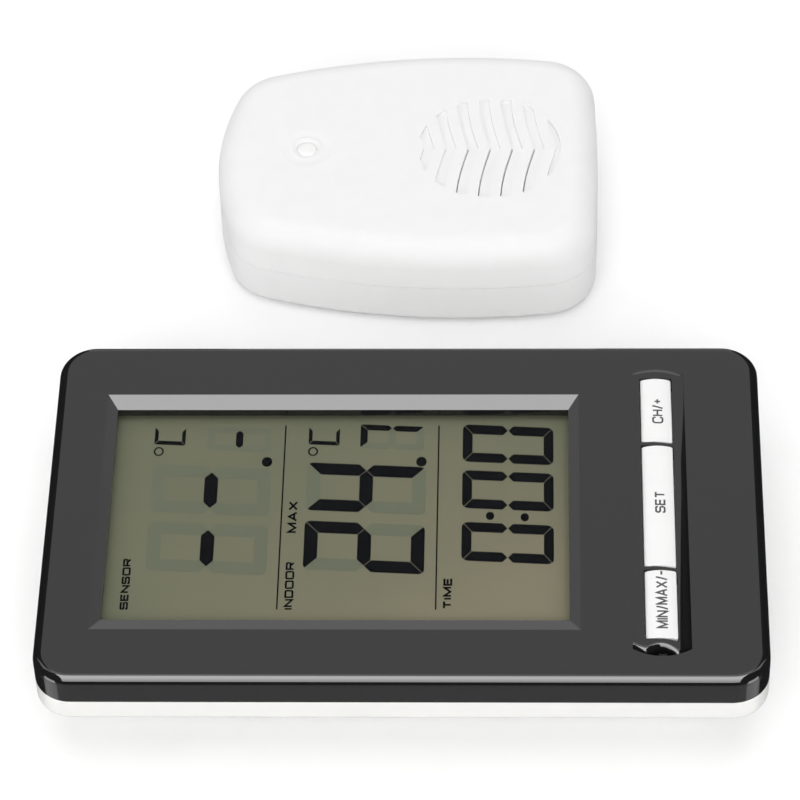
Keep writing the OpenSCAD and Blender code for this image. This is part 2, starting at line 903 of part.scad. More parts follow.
module sensor_board_screws() {
    color("#c4c6c8")
        for (at = sensor_board_screws_at)
            screw(at, 1.6, 0.9, 0.8, sensor_board_z[0] - 0.9, 16.4);
}

module sensor_case_screws() {
    color("#c4c6c8")
        for (at = sensor_screws_at)
            screw(at, 1.7, 1.1, 0.9, 1.85, 14.5);
}

module sensor_thermistor() {
    color("#2a2f38")
        thermistor([13, sensor_y], sensor_board_z[1], 15);
}

module sensor_antenna() {
    color("#b8733a")
        antenna(-6, 14, sensor_y - 15.6, 7, sensor_board_z[0]);
}

module transmitter_module() {
    color("#2c2c2c") {
        block([-8, sensor_y + 2, sensor_board_z[1]], [-2, sensor_y + 8, 15]);
        block([-8, sensor_y - 8, sensor_board_z[1]], [-3.5, sensor_y - 4, 15.2]);
    }
}

module channel_selector_body() {
    top = sensor_board_z[0];
    color("#c9cbcc")
        translate([selector_at[0], selector_at[1], 0])
            difference() {
                block([-6, -2, top - 3], [6, 2, top]);
                block([-4, -0.9, top - 4], [4, 0.9, top - 1]);
            }
}

module channel_selector_knob() {
    top = sensor_board_z[0];
    color("#1f1f1f")
        translate([selector_at[0] - selector_travel / 2, selector_at[1], 0])
            block([-1.2, -0.75, top - 5], [1.2, 0.75, top - 1.2]);
}

front_bezel();
rear_housing();
lcd_front_glass();
lcd_rear_glass();
lcd_reflector();
lcd_frame();
lcd_connector_strips();
color("#f0f0ee") key(0);  // channel_key
color("#f0f0ee") key(1);  // set_key
color("#f0f0ee") key(2);  // minmax_key
color("#1f1f1f") plunger(0);  // channel_plunger
color("#1f1f1f") plunger(1);  // set_plunger
color("#1f1f1f") plunger(2);  // minmax_plunger
color("#b9bcc0") switch_body(0);  // channel_key_switch
color("#b9bcc0") switch_body(1);  // set_key_switch
color("#b9bcc0") switch_body(2);  // minmax_key_switch
main_board();
board_screws();
case_screws();
controller_chip();
clock_crystal();
room_thermistor();
receiver_module();
receiver_antenna();
color("#b08d3c") cell(display_bay, -1, 1);  // display_cell_front
color("#b08d3c") cell(display_bay, 1, -1);  // display_cell_back
color("#cfd2d4") link_contact(display_bay);  // display_link_contact
color("#cfd2d4") negative_contact(display_bay, board_z);  // display_negative_contact
color("#cfd2d4") positive_contact(display_bay, board_z);  // display_positive_contact
display_battery_door();
stand_leg();
sensor_front_shell();
sensor_rear_shell();
sensor_battery_door();
sensor_lens();
sensor_led();
sensor_board();
sensor_board_screws();
sensor_case_screws();
sensor_thermistor();
sensor_antenna();
transmitter_module();
channel_selector_body();
channel_selector_knob();
color("#b08d3c") cell(sensor_bay, -1, 1);  // sensor_cell_front
color("#b08d3c") cell(sensor_bay, 1, -1);  // sensor_cell_back
color("#cfd2d4") link_contact(sensor_bay);  // sensor_link_contact
color("#cfd2d4") negative_contact(sensor_bay, sensor_board_z[0]);  // sensor_negative_contact
color("#cfd2d4") positive_contact(sensor_bay, sensor_board_z[0]);  // sensor_positive_contact
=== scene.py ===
import math

import bmesh
import bpy
from mathutils import Matrix, Vector


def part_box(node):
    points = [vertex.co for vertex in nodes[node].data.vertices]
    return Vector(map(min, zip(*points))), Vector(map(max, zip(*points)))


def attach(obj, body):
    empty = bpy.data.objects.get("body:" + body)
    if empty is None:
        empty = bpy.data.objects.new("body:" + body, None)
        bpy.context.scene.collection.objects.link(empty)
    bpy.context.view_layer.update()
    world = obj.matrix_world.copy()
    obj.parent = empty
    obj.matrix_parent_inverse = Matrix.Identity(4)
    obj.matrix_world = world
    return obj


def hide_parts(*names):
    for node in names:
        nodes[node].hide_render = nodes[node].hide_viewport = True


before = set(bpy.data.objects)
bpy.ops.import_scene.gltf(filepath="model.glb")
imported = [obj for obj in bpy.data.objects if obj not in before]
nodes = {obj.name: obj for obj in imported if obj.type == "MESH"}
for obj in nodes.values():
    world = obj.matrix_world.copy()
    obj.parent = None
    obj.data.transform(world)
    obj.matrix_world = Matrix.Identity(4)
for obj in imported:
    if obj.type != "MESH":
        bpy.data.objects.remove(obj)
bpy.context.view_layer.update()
MM = 0.001

# Levels and plan sizes in millimetres, read off the CAD nodes
bezel_lo, bezel_hi = (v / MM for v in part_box("front_bezel"))
FACE_Z = bezel_hi.z
BEZEL_H = 5.4
PART_Z = FACE_Z - BEZEL_H
CASE = (bezel_hi.x - bezel_lo.x, bezel_hi.y - bezel_lo.y)
CORNER_R = 6.0
WALL = 1.6
EDGE_R = 1.45
GLASS_LO, GLASS_HI = (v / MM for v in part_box("lcd_front_glass"))
CELL_Z = GLASS_LO.z
WINDOW = (74.4, 44.4)
WINDOW_AT = ((GLASS_LO.x + GLASS_HI.x) / 2, (GLASS_LO.y + GLASS_HI.y) / 2)
WINDOW_SLOPE = (1.7, 2.6)
SLOPE_DROP = 0.9
# The trough that the keys stand in: its size, its middle, and the sagitta of its arched ends
TROUGH = (9.3, 60.3)
TROUGH_AT = (41.05, -0.25)
TROUGH_SAGITTA = 1.4

# ---- Materials ----


def shader(name, base, rough, vary=0.04, grain=900.0, rough_vary=0.05, bump=0.1, **sockets):
    """Principled material whose colour, roughness and surface vary with noise in the piece's own space."""
    mat = bpy.data.materials.new(name)
    mat.use_nodes = True
    tree = mat.node_tree
    make, link = tree.nodes.new, tree.links.new
    bsdf = tree.nodes["Principled BSDF"]
    coords = make("ShaderNodeTexCoord")

    def noise(scale, detail):
        n = make("ShaderNodeTexNoise")
        n.inputs["Scale"].default_value = scale
        n.inputs["Detail"].default_value = detail
        link(coords.outputs["Object"], n.inputs["Vector"])
        return n.outputs["Fac"]

    ramp = make("ShaderNodeValToRGB")
    ramp.color_ramp.elements[0].position = 0.3
    ramp.color_ramp.elements[1].position = 0.7
    ramp.color_ramp.elements[0].color = [c * (1 - vary) for c in base] + [1]
    ramp.color_ramp.elements[1].color = [min(c * (1 + vary), 1) for c in base] + [1]
    link(noise(grain * 0.3, 4), ramp.inputs["Fac"])
    link(ramp.outputs["Color"], bsdf.inputs["Base Color"])
    spread = make("ShaderNodeMapRange")
    spread.inputs["To Min"].default_value = max(rough - rough_vary, 0.02)
    spread.inputs["To Max"].default_value = rough + rough_vary
    link(noise(grain, 3), spread.inputs["Value"])
    link(spread.outputs["Result"], bsdf.inputs["Roughness"])
    relief = make("ShaderNodeBump")
    relief.inputs["Strength"].default_value = bump
    relief.inputs["Distance"].default_value = 0.00005
    link(noise(grain * 3, 2), relief.inputs["Height"])
    link(relief.outputs["Normal"], bsdf.inputs["Normal"])
    for socket, value in sockets.items():
        bsdf.inputs[socket.replace("_", " ")].default_value = value
    return mat


LOOKS = {
    "bezel_plastic": dict(base=(0.009, 0.009, 0.0095), rough=0.05, rough_vary=0.02, grain=400, bump=0.02, IOR=1.58),
    "case_plastic": dict(base=(0.8, 0.795, 0.775), rough=0.32, vary=0.01, bump=0.06),
    "sensor_plastic": dict(base=(0.81, 0.81, 0.81), rough=0.55, vary=0.008, bump=0.08, Specular_IOR_Level=0.1),
    "key_plastic": dict(base=(0.82, 0.82, 0.815), rough=0.36, vary=0.008, bump=0.08),
    "door_plastic": dict(base=(0.83, 0.83, 0.82), rough=0.4, vary=0.01, bump=0.12),
    "frame_plastic": dict(base=(0.74, 0.74, 0.72), rough=0.5, vary=0.02),
    "dark_plastic": dict(base=(0.02, 0.02, 0.02), rough=0.45),
    "connector_rubber": dict(base=(0.03, 0.03, 0.03), rough=0.8, vary=0.3, grain=2500),
    "lcd_reflector": dict(base=(0.3, 0.3, 0.22), rough=0.55, vary=0.03, Metallic=0.4),
    "switch_metal": dict(base=(0.6, 0.6, 0.61), rough=0.3, Metallic=1.0),
    "board": dict(base=(0.02, 0.13, 0.045), rough=0.35, vary=0.2, grain=1600, Coat_Weight=0.4),
    "screw_steel": dict(base=(0.6, 0.6, 0.61), rough=0.28, grain=2200, Metallic=1.0),
    "potting": dict(base=(0.012, 0.012, 0.012), rough=0.3, vary=0.2),
    "crystal_can": dict(base=(0.66, 0.67, 0.68), rough=0.2, Metallic=1.0),
    "thermistor_bead": dict(base=(0.02, 0.025, 0.04), rough=0.15),
    "module_board": dict(base=(0.02, 0.07, 0.2), rough=0.4, vary=0.15),
    "antenna_wire": dict(base=(0.6, 0.25, 0.1), rough=0.3, Metallic=0.8),
    "cell_jacket": dict(base=(0.16, 0.19, 0.22), rough=0.3, vary=0.1, Metallic=0.6),
    "contact_steel": dict(base=(0.68, 0.69, 0.7), rough=0.25, Metallic=1.0),
    "lens_plastic": dict(base=(0.82, 0.82, 0.815), rough=0.42, vary=0.01, bump=0.04, Specular_IOR_Level=0.3),
    "led_resin": dict(base=(0.5, 0.04, 0.02), rough=0.2, Coat_Weight=0.5),
    "lcd_glass": dict(base=(0.2, 0.2, 0.14), rough=0.3, vary=0.03),
}
materials = {slot: shader(slot, **look) for slot, look in LOOKS.items()}


def pane(name, ior, rough):
    """Flat glass that mirrors by its Fresnel share and lets everything else straight through."""
    mat = bpy.data.materials.new(name)
    mat.use_nodes = True
    tree = mat.node_tree
    make, link = tree.nodes.new, tree.links.new
    tree.nodes.remove(tree.nodes["Principled BSDF"])
    mirror = make("ShaderNodeBsdfGlossy")
    mirror.inputs["Roughness"].default_value = rough
    clear = make("ShaderNodeBsdfTransparent")
    clear.inputs["Color"].default_value = (0.97, 0.97, 0.96, 1)
    share = make("ShaderNodeFresnel")
    share.inputs["IOR"].default_value = ior
    mix = make("ShaderNodeMixShader")
    link(share.outputs["Fac"], mix.inputs["Fac"])
    link(clear.outputs["BSDF"], mix.inputs[1])
    link(mirror.outputs["BSDF"], mix.inputs[2])
    link(mix.outputs["Shader"], tree.nodes["Material Output"].inputs["Surface"])
    return mat


def panel_tone_and_reflection(name):
    """Grey-green of the liquid crystal panel with faint cloudy patches, and a painted reflection that makes it lighter
    and warmer towards its lower right.
    """
    mat = shader(name, (0.2, 0.2, 0.135), rough=0.6, vary=0.02, Specular_IOR_Level=0.0)
    tree = mat.node_tree
    make, link = tree.nodes.new, tree.links.new
    bsdf = tree.nodes["Principled BSDF"]
    coords = make("ShaderNodeTexCoord")
    split = make("ShaderNodeSeparateXYZ")
    link(coords.outputs["Object"], split.inputs["Vector"])
    # Painted reflection: across and down make a gradient that lightens and warms the panel towards its lower right.
    across = make("ShaderNodeMapRange")
    across.inputs["From Min"].default_value = -0.048
    across.inputs["From Max"].default_value = 0.03
    link(split.outputs["X"], across.inputs["Value"])
    down = make("ShaderNodeMapRange")
    down.inputs["From Min"].default_value = 0.022
    down.inputs["From Max"].default_value = -0.023
    link(split.outputs["Y"], down.inputs["Value"])
    painted_reflection = make("ShaderNodeMath")
    painted_reflection.operation = "MULTIPLY"
    link(across.outputs["Result"], painted_reflection.inputs[0])
    link(down.outputs["Result"], painted_reflection.inputs[1])
    cloud = make("ShaderNodeTexNoise")
    cloud.inputs["Scale"].default_value = 45
    cloud.inputs["Detail"].default_value = 3
    link(coords.outputs["Object"], cloud.inputs["Vector"])
    blend = make("ShaderNodeMath")
    blend.operation = "MULTIPLY_ADD"
    blend.inputs[1].default_value = 0.55
    link(cloud.outputs["Fac"], blend.inputs[0])
    link(painted_reflection.outputs["Value"], blend.inputs[2])
    # The ramp runs from the panel's own grey-green to the lighter, warmer tone of the painted reflection.
    ramp = make("ShaderNodeValToRGB")
    ramp.color_ramp.elements[0].position = 0.2
    ramp.color_ramp.elements[0].color = (0.189, 0.2, 0.137, 1)
    ramp.color_ramp.elements[1].position = 1.1
    ramp.color_ramp.elements[1].color = (0.272, 0.25, 0.176, 1)
    link(blend.outputs["Value"], ramp.inputs["Fac"])
    link(ramp.outputs["Color"], bsdf.inputs["Base Color"])
    return mat


front_glass = pane("lcd_front_glass", 1.15, 0.02)
# The panel's material carries a painted reflection towards its lower right.
lcd_tone_and_reflection = panel_tone_and_reflection("lcd_panel_tone")
ink = shader("lcd_segment", (0.006, 0.0065, 0.008), rough=0.6, vary=0.2, Specular_IOR_Level=0.0)
# Tone of the unlit segments, a little darker than the panel: their own faint tint plus painted shadow that they cast
# on the reflector.
idle_tint_and_shadow = shader("lcd_idle_segment", (0.178, 0.192, 0.139), rough=0.6, vary=0.03, Specular_IOR_Level=0.0)
legend_ink = shader("legend_ink", (0.05, 0.05, 0.055), rough=0.5, vary=0.15, grain=3000)

for node in nodes.values():
    for slot in node.material_slots:
        slot.material = materials[slot.material.name.split(".")[0]]
nodes["lcd_front_glass"].material_slots[0].material = front_glass

# ---- Mesh building ----

# Edges sharper than this many degrees are shaded as edges
SHARP = 32


def new_object(name, mesh, *mats):
    """Object with the given mesh and materials, in the scene."""
    obj = bpy.data.objects.new(name, mesh)
    bpy.context.scene.collection.objects.link(obj)
    for mat in mats:
        mesh.materials.append(mat)
    return obj


def from_bmesh(name, bm, *mats):
    """Turns a bmesh in millimetres into an object in metres, smooth except at its sharp edges."""
    bmesh.ops.recalc_face_normals(bm, faces=bm.faces)
    bmesh.ops.scale(bm, vec=(MM, MM, MM), verts=bm.verts)
    mesh = bpy.data.meshes.new(name)
    bm.to_mesh(mesh)
    bm.free()
    smooth(mesh, SHARP)
    return new_object(name, mesh, *mats)


def smooth(mesh, angle):
    """Smooth shading, except across edges sharper than angle degrees."""
    mesh.shade_smooth()
    mesh.set_sharp_from_angle(angle=math.radians(angle))


def loft(bm, rings):
    """Skins a row of matching closed rings of points, and caps the first and the last."""
    rows = [[bm.verts.new(p) for p in ring] for ring in rings]
    count = len(rows[0])
    for low, high in zip(rows, rows[1:]):
        for i in range(count):
            j = (i + 1) % count
            bm.faces.new((low[i], low[j], high[j], high[i]))
    bm.faces.new(rows[0][::-1])
    bm.faces.new(rows[-1])


def prism(bm, outline, low, high):
    """Upright prism over a plan outline; low and high are heights or functions of x and y."""
    def at(level, p):
        return level(*p) if callable(level) else level
    loft(bm, [[(*p, at(level, p)) for p in outline] for level in (low, high)])


def box(bm, lo, hi):
    """Upright block between two corners."""
    prism(bm, [(lo[0], lo[1]), (hi[0], lo[1]), (hi[0], hi[1]), (lo[0], hi[1])], lo[2], hi[2])


def disc(centre, r, steps):
    """Plan outline of a circle."""
    return [(centre[0] + r * math.cos(math.tau * i / steps), centre[1] + r * math.sin(math.tau * i / steps))
            for i in range(steps)]


def round_rect(size, r, at=(0, 0), steps=14):
    """Plan outline of a rectangle with round corners."""
    points = []
    for quarter, (sx, sy) in enumerate(((1, 1), (-1, 1), (-1, -1), (1, -1))):
        cx, cy = at[0] + sx * (size[0] / 2 - r), at[1] + sy * (size[1] / 2 - r)
        for i in range(steps + 1):
            a = math.pi / 2 * (quarter + i / steps)
            points.append((cx + r * math.cos(a), cy + r * math.sin(a)))
    return points


def bake(obj, angle=None):
    """Applies the object's modifiers to its mesh, and smooths the result where an angle is given."""
    graph = bpy.context.evaluated_depsgraph_get()
    mesh = bpy.data.meshes.new_from_object(obj.evaluated_get(graph))
    obj.modifiers.clear()
    obj.data = mesh
    if angle is not None:
        smooth(mesh, angle)


def carve(obj, tool, operation="DIFFERENCE"):
    """Cuts tool out of obj, or joins it, and removes the tool."""
    cut = obj.modifiers.new("carve", "BOOLEAN")
    cut.object = tool
    cut.operation = operation
    cut.solver = "EXACT"
    bake(obj, SHARP)
    bpy.data.objects.remove(tool)


def carve_with(obj, build, operation="DIFFERENCE"):
    """As carve, with the tool drawn by build into an empty bmesh."""
    bm = bmesh.new()
    build(bm)
    carve(obj, from_bmesh("tool", bm), operation)


def soften(obj, width, segments=2, angle=35, keep=SHARP):
    """Rounds the edges sharper than angle by width millimetres, then shades those sharper than keep as edges."""
    mod = obj.modifiers.new("soften", "BEVEL")
    mod.width = width * MM
    mod.segments = segments
    mod.limit_method = "ANGLE"
    mod.angle_limit = math.radians(angle)
    mod.use_clamp_overlap = True
    bake(obj, keep)


def weigh(obj):
    """Gives the mesh normals that keep its large flat faces flat."""
    mod = obj.modifiers.new("weigh", "WEIGHTED_NORMAL")
    mod.keep_sharp = True
    mod.weight = 80
    bake(obj)


def finish_piece(obj, body, slot, *replaced):
    """Hands a finished piece over to the body it rides on, and hides the CAD nodes it replaces. The slot argument is
    not used.
    """
    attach(obj, body)
    if replaced:
        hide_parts(*replaced)
    return obj


# ---- Display bezel ----


def edge_profile():
    """(inset, height) from the parting line up the wall and round the edge."""
    points = [(0.0, PART_Z)]
    for i in range(19):
        tilt = math.radians(90 - 5 * i)
        points.append((EDGE_R * (1 - math.sin(tilt)), FACE_Z - EDGE_R * (1 - math.cos(tilt))))
    return points


def trough_end(x):
    """Half length of the trough at x off its middle line: both ends are gently arched."""
    half_w, half_l = TROUGH[0] / 2, TROUGH[1] / 2
    r = (half_w ** 2 + TROUGH_SAGITTA ** 2) / (2 * TROUGH_SAGITTA)
    return half_l - r + math.sqrt(max(r * r - x * x, 0))


def trough_outline():
    """Plan outline of the trough."""
    points = []
    for s in (1, -1):
        for i in range(17):
            x = s * TROUGH[0] / 2 * (1 - i / 8)
            points.append((TROUGH_AT[0] + x, TROUGH_AT[1] + s * trough_end(x)))
    return points


def bezel_shell():
    """The bezel as a solid block with its rounded rim."""
    bm = bmesh.new()
    loft(bm, [[(x, y, z) for x, y in round_rect((CASE[0] - 2 * i, CASE[1] - 2 * i), CORNER_R - i)]
              for i, z in edge_profile()])
    return from_bmesh("display_bezel", bm, materials["bezel_plastic"])


def window_tool(bm):
    """Straight hole of the window."""
    w, d = WINDOW
    prism(bm, round_rect((w, d), 0.15, WINDOW_AT, 2), PART_Z, FACE_Z + 1)


def slope_tool(bm):
    """Sloping border round the window."""
    rise = 1.4
    rings = []
    for z, k in ((FACE_Z - SLOPE_DROP, 0.0), (FACE_Z - SLOPE_DROP * (1 - rise), rise)):
        w = WINDOW[0] / 2 + WINDOW_SLOPE[0] * k
        d = WINDOW[1] / 2 + WINDOW_SLOPE[1] * k
        rings.append([(WINDOW_AT[0] + sx * w, WINDOW_AT[1] + sy * d, z)
                      for sx, sy in ((-1, -1), (1, -1), (1, 1), (-1, 1))])
    loft(bm, rings)


# The trough's floor: its highest line, its lowest level, and the tongue that it ends in towards the near wall
CROWN_X = 39.6
TROUGH_DEPTH = 2.3
TONGUE_GAP = 2.0
TONGUE_HALF_W = 2.5
TONGUE_R = 0.85
FAR_DISH, FAR_RAMP = 0.13, 0.4


def tongue_end(x):
    """Where the floor's end wall stands at x, and the radius above it."""
    off = min(((x - TROUGH_AT[0]) / TONGUE_HALF_W) ** 2, 1)
    wall = TROUGH_AT[1] - trough_end(min(abs(x - TROUGH_AT[0]), TROUGH[0] / 2))
    return wall + 0.1 + TONGUE_GAP * (1 - off), TONGUE_R * (1 + 0.9 * off)


def trough_floor(x, y):
    """Height of the crowned floor: flush with the face at the far end, falling to the right towards the near one."""
    near = min(max((TROUGH_AT[1] + TROUGH[1] / 2 - y) / TROUGH[1], 0), 1)
    across = (x - TROUGH_AT[0]) / (TROUGH[0] / 2)
    ramp = min((TROUGH_AT[1] + trough_end(x - TROUGH_AT[0]) - y) / FAR_RAMP, 1)
    dish = FAR_DISH * (1 - across ** 2) * (1 - near) * ramp
    bend = 0.06 * min(near / 0.3, 1) + 0.027 * near if x > CROWN_X else 0.02 * near
    z = FACE_Z + 0.001 - dish - 0.08 * near - (x - CROWN_X) ** 2 / 2 * bend
    end, r = tongue_end(x)
    if y < end:
        return FACE_Z - TROUGH_DEPTH
    if y < end + r:
        z -= r - math.sqrt(r ** 2 - (r - y + end) ** 2)
    return max(z, FACE_Z - TROUGH_DEPTH)


def floor_tool(bm):
    """Block over the trough's floor, with close rows of points at the tongue and at the far end."""
    far = TROUGH_AT[1] + TROUGH[1] / 2
    low, high = [], []
    for k in range(41):
        x = TROUGH_AT[0] + (TROUGH[0] / 2 + 0.5) * (k / 20 - 1)
        end, r = tongue_end(x)
        ys = [end - 4, end - 0.02] + [end + 0.001 + r * (1 - math.cos(math.pi / 2 * i / 14)) for i in range(15)]
        ys += [ys[-1] + (far - 1.6 - ys[-1]) * i / 32 for i in range(1, 32)]
        ys += [far - 1.6 + 0.1 * i for i in range(32)]
        low.append([bm.verts.new((x, y, trough_floor(x, y))) for y in ys])
        high.append([bm.verts.new((x, y, FACE_Z + 1)) for y in ys])
    for grid in (low, high):
        for a, b in zip(grid, grid[1:]):
            for k in range(len(a) - 1):
                bm.faces.new((a[k], a[k + 1], b[k + 1], b[k]))
    firsts = [[row[0] for row in grid] for grid in (low, high)]
    lasts = [[row[-1] for row in grid] for grid in (low, high)]
    for a, b in ((low[0], high[0]), (low[-1], high[-1]), firsts, lasts):
        for k in range(len(a) - 1):
            bm.faces.new((a[k], a[k + 1], b[k + 1], b[k]))


# Middle and length of each key along y
KEYS = {}
KEY_W = 5.05
KEY_GAP = 0.15
for name in ("channel_key", "set_key", "minmax_key"):
    lo, hi = (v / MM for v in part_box(name))
    KEYS[name] = ((lo.y + hi.y) / 2, hi.y - lo.y)

bezel = bezel_shell()
inside = round_rect((CASE[0] - 2 * WALL, CASE[1] - 2 * WALL), CORNER_R - WALL)
carve_with(bezel, lambda bm: prism(bm, inside, PART_Z - 1, GLASS_HI.z))
pad = [[TROUGH_AT[k] + s * (TROUGH[k] / 2 + past) for k, past in ((0, 1), (1, 1.5))] for s in (-1, 1)]
carve_with(bezel, lambda bm: box(bm, (*pad[0], FACE_Z - 3), (*pad[1], FACE_Z - 2.2)), "UNION")
carve_with(bezel, window_tool)
carve_with(bezel, slope_tool)
bm = bmesh.new()
prism(bm, trough_outline(), FACE_Z - 2.8, FACE_Z + 0.5)
trough = from_bmesh("trough_tool", bm)
carve_with(trough, floor_tool, "INTERSECT")
carve(bezel, trough)
for y, length in KEYS.values():
    hole = round_rect((KEY_W + 2 * KEY_GAP, length + 2 * KEY_GAP), 0.4, (TROUGH_AT[0], y), 4)
    carve_with(bezel, lambda bm: prism(bm, hole, PART_Z, FACE_Z + 1))
soften(bezel, 0.12, keep=12)
weigh(bezel)
finish_piece(bezel, "display", "bezel_plastic", "front_bezel")

# ---- Keys ----

KEY_FLOOR = 16.5
KEY_TOP = 19.985
FLANGE_Z = (FACE_Z - 3.9, FACE_Z - 3.1)
KEY_CROWN_R = 7.0
KEY_AXIS_Z = KEY_TOP - KEY_CROWN_R


def key_top(x, lift):
    """Height at x of a surface that lies lift above the keys' crown."""
    return KEY_AXIS_Z + lift + math.sqrt(KEY_CROWN_R ** 2 - (x - TROUGH_AT[0]) ** 2)


def crown_tool(bm):
    """Round bar whose top is the keys' crown."""
    loft(bm, [[(x, y, z) for x, z in disc((TROUGH_AT[0], KEY_AXIS_Z), KEY_CROWN_R, 180)] for y in (-40, 40)])


for name, (y, length) in KEYS.items():
    bm = bmesh.new()
    prism(bm, round_rect((KEY_W, length), 0.3, (TROUGH_AT[0], y), 4), KEY_FLOOR, 21)
    cap = from_bmesh(name + "_cap", bm, materials["key_plastic"])
    carve_with(cap, crown_tool, "INTERSECT")
    soften(cap, 0.24, 3, 40)
    carve_with(cap, lambda bm: box(bm, (TROUGH_AT[0] - 3.4, y - length / 2 + 0.5, FLANGE_Z[0]),
                                   (TROUGH_AT[0] + 3.4, y + length / 2 - 0.5, FLANGE_Z[1])), "UNION")
    carve_with(cap, lambda bm: box(bm, (TROUGH_AT[0] - 2.55, y - 2.8, KEY_FLOOR - 2),
                                   (TROUGH_AT[0] + 2.55, y + 2.8, KEY_FLOOR)))
    weigh(cap)
    finish_piece(cap, name, "key_plastic", name)

# ---- Lettering: generic words in plain strokes ----

# Each letter is a width and its strokes as (points, closed, rounded) on a unit cap height, v down from the top
LETTERS = {
    "A": (0.8, [([(0, 1), (0.4, 0), (0.8, 1)], 0, 0), ([(0.13, 0.68), (0.67, 0.68)], 0, 0)]),
    "C": (0.74, [([(0.74, 0.28), (0.74, 0), (0, 0), (0, 1), (0.74, 1), (0.74, 0.72)], 0, 0.2)]),
    "D": (0.74, [([(0, 0), (0.74, 0), (0.74, 1), (0, 1)], 1, 0.24)]),
    "E": (0.66, [([(0.66, 0), (0, 0), (0, 1), (0.66, 1)], 0, 0), ([(0, 0.48), (0.6, 0.48)], 0, 0)]),
    "H": (0.72, [([(0, 0), (0, 1)], 0, 0), ([(0.72, 0), (0.72, 1)], 0, 0), ([(0, 0.48), (0.72, 0.48)], 0, 0)]),
    "I": (0.0, [([(0, 0), (0, 1)], 0, 0)]),
    "M": (0.86, [([(0, 1), (0, 0), (0.43, 0.9), (0.86, 0), (0.86, 1)], 0, 0)]),
    "N": (0.74, [([(0, 1), (0, 0), (0.74, 1), (0.74, 0)], 0, 0)]),
    "O": (0.8, [([(0, 0), (0.8, 0), (0.8, 1), (0, 1)], 1, 0.22)]),
    "R": (0.74, [([(0, 1), (0, 0), (0.72, 0), (0.72, 0.53), (0, 0.53)], 0, 0.17), ([(0.4, 0.53), (0.74, 1)], 0, 0)]),
    "S": (0.72, [([(0.71, 0.24), (0.71, 0), (0, 0), (0, 0.48), (0.72, 0.48), (0.72, 1), (0, 1), (0, 0.76)], 0, 0.17)]),
    "T": (0.7, [([(0, 0), (0.7, 0)], 0, 0), ([(0.35, 0), (0.35, 1)], 0, 0)]),
    "X": (0.76, [([(0, 0), (0.76, 1)], 0, 0), ([(0.76, 0), (0, 1)], 0, 0)]),
    "/": (0.36, [([(0, 1.05), (0.36, -0.05)], 0, 0)]),
    "+": (0.6, [([(0, 0.5), (0.6, 0.5)], 0, 0), ([(0.3, 0.2), (0.3, 0.8)], 0, 0)]),
    "-": (0.5, [([(0, 0.5), (0.5, 0.5)], 0, 0)]),
}
SQUARE_CORNERED = {"D": (0, 3), "R": (0, 1, 4)}
LETTER_SPACE = 0.3


def round_corners(points, closed, r, square):
    """Replaces the corners of a polyline by short arcs, except those whose numbers are in square."""
    if not r:
        return points
    out = []
    count = len(points)
    for i, p in enumerate(points):
        if i in square or (not closed and i in (0, count - 1)):
            out.append(p)
            continue
        p = Vector(p)
        before, after = Vector(points[i - 1]), Vector(points[(i + 1) % count])
        u, v = (before - p).normalized(), (after - p).normalized()
        reach = min(r, (before - p).length / 2, (after - p).length / 2)
        start, end = p + u * reach, p + v * reach
        for k in range(7):
            t = k / 6
            out.append(tuple(start * (1 - t) ** 2 + p * 2 * t * (1 - t) + end * t * t))
    return out


def ribbon(bm, path, half, closed, place, low, high, step=0.2):
    """Thin band of the given half width along a plan path; place maps it to x and y, low and high to z."""
    fine = []
    ends = list(path) + ([path[0]] if closed else [])
    for a, b in zip(ends, ends[1:]):
        a, b = Vector(a), Vector(b)
        parts = max(1, math.ceil((b - a).length / step))
        fine += [a.lerp(b, k / parts) for k in range(parts)]
    if not closed:
        fine.append(Vector(ends[-1]))
    count = len(fine)
    rows = []
    for i, p in enumerate(fine):
        back = fine[i - 1] if closed or i else None
        ahead = fine[(i + 1) % count] if closed or i < count - 1 else None
        into = (p - back).normalized() if back is not None else (ahead - p).normalized()
        out = (ahead - p).normalized() if ahead is not None else into
        normal = Vector((-(into + out).y, (into + out).x))
        normal.normalize()
        spread = half / max(normal.dot(Vector((-into.y, into.x))), 0.45)
        row = []
        for side, level in ((1, low), (-1, low), (-1, high), (1, high)):
            x, y = place(*(p + normal * side * spread))
            row.append(bm.verts.new((x, y, level(x))))
        rows.append(row)
    pairs = list(zip(rows, rows[1:])) + ([(rows[-1], rows[0])] if closed else [])
    for a, b in pairs:
        for k in range(4):
            bm.faces.new((a[k], a[(k + 1) % 4], b[(k + 1) % 4], b[k]))
    if not closed:
        bm.faces.new(rows[0][::-1])
        bm.faces.new(rows[-1])


def lettering(bm, word, top, bottom, start, end, weight, low, high, roundness=1.0):
    """Sets a word from start to end along Y, with its capitals standing from x = bottom to x = top."""
    cap = bottom - top - weight
    widths = [LETTERS[c][0] for c in word]
    natural = sum(widths) + LETTER_SPACE * (len(word) - 1)
    scale = (end - start - weight) / natural
    along = start + weight / 2
    for c, width in zip(word, widths):
        for points, closed, r in LETTERS[c][1]:
            spots = [(along + u * scale, top + weight / 2 + v * cap) for u, v in points]
            path = round_corners(spots, closed, r * cap * roundness, SQUARE_CORNERED.get(c, ()))
            ribbon(bm, path, weight / 2, closed, lambda u, v: (v, u), low, high)
        along += (width + LETTER_SPACE) * scale


LEGENDS = {
    "channel_key": ("CH/+", 40.35, 42.2, 18.06, 23.5),
    "set_key": ("SET", 40.45, 42.15, -1.1, 3.45),
    "minmax_key": ("MIN/MAX/-", 40.2, 42.15, -24.85, -13.05),
}
for name, (word, top, bottom, start, end) in LEGENDS.items():
    bm = bmesh.new()
    lettering(bm, word, top, bottom, start, end, 0.31, lambda x: key_top(x, -0.03), lambda x: key_top(x, 0.012),
              roundness=1.7)
    finish_piece(from_bmesh(name + "_legend", bm, legend_ink), name, "key_plastic")

# ---- Liquid crystal picture ----

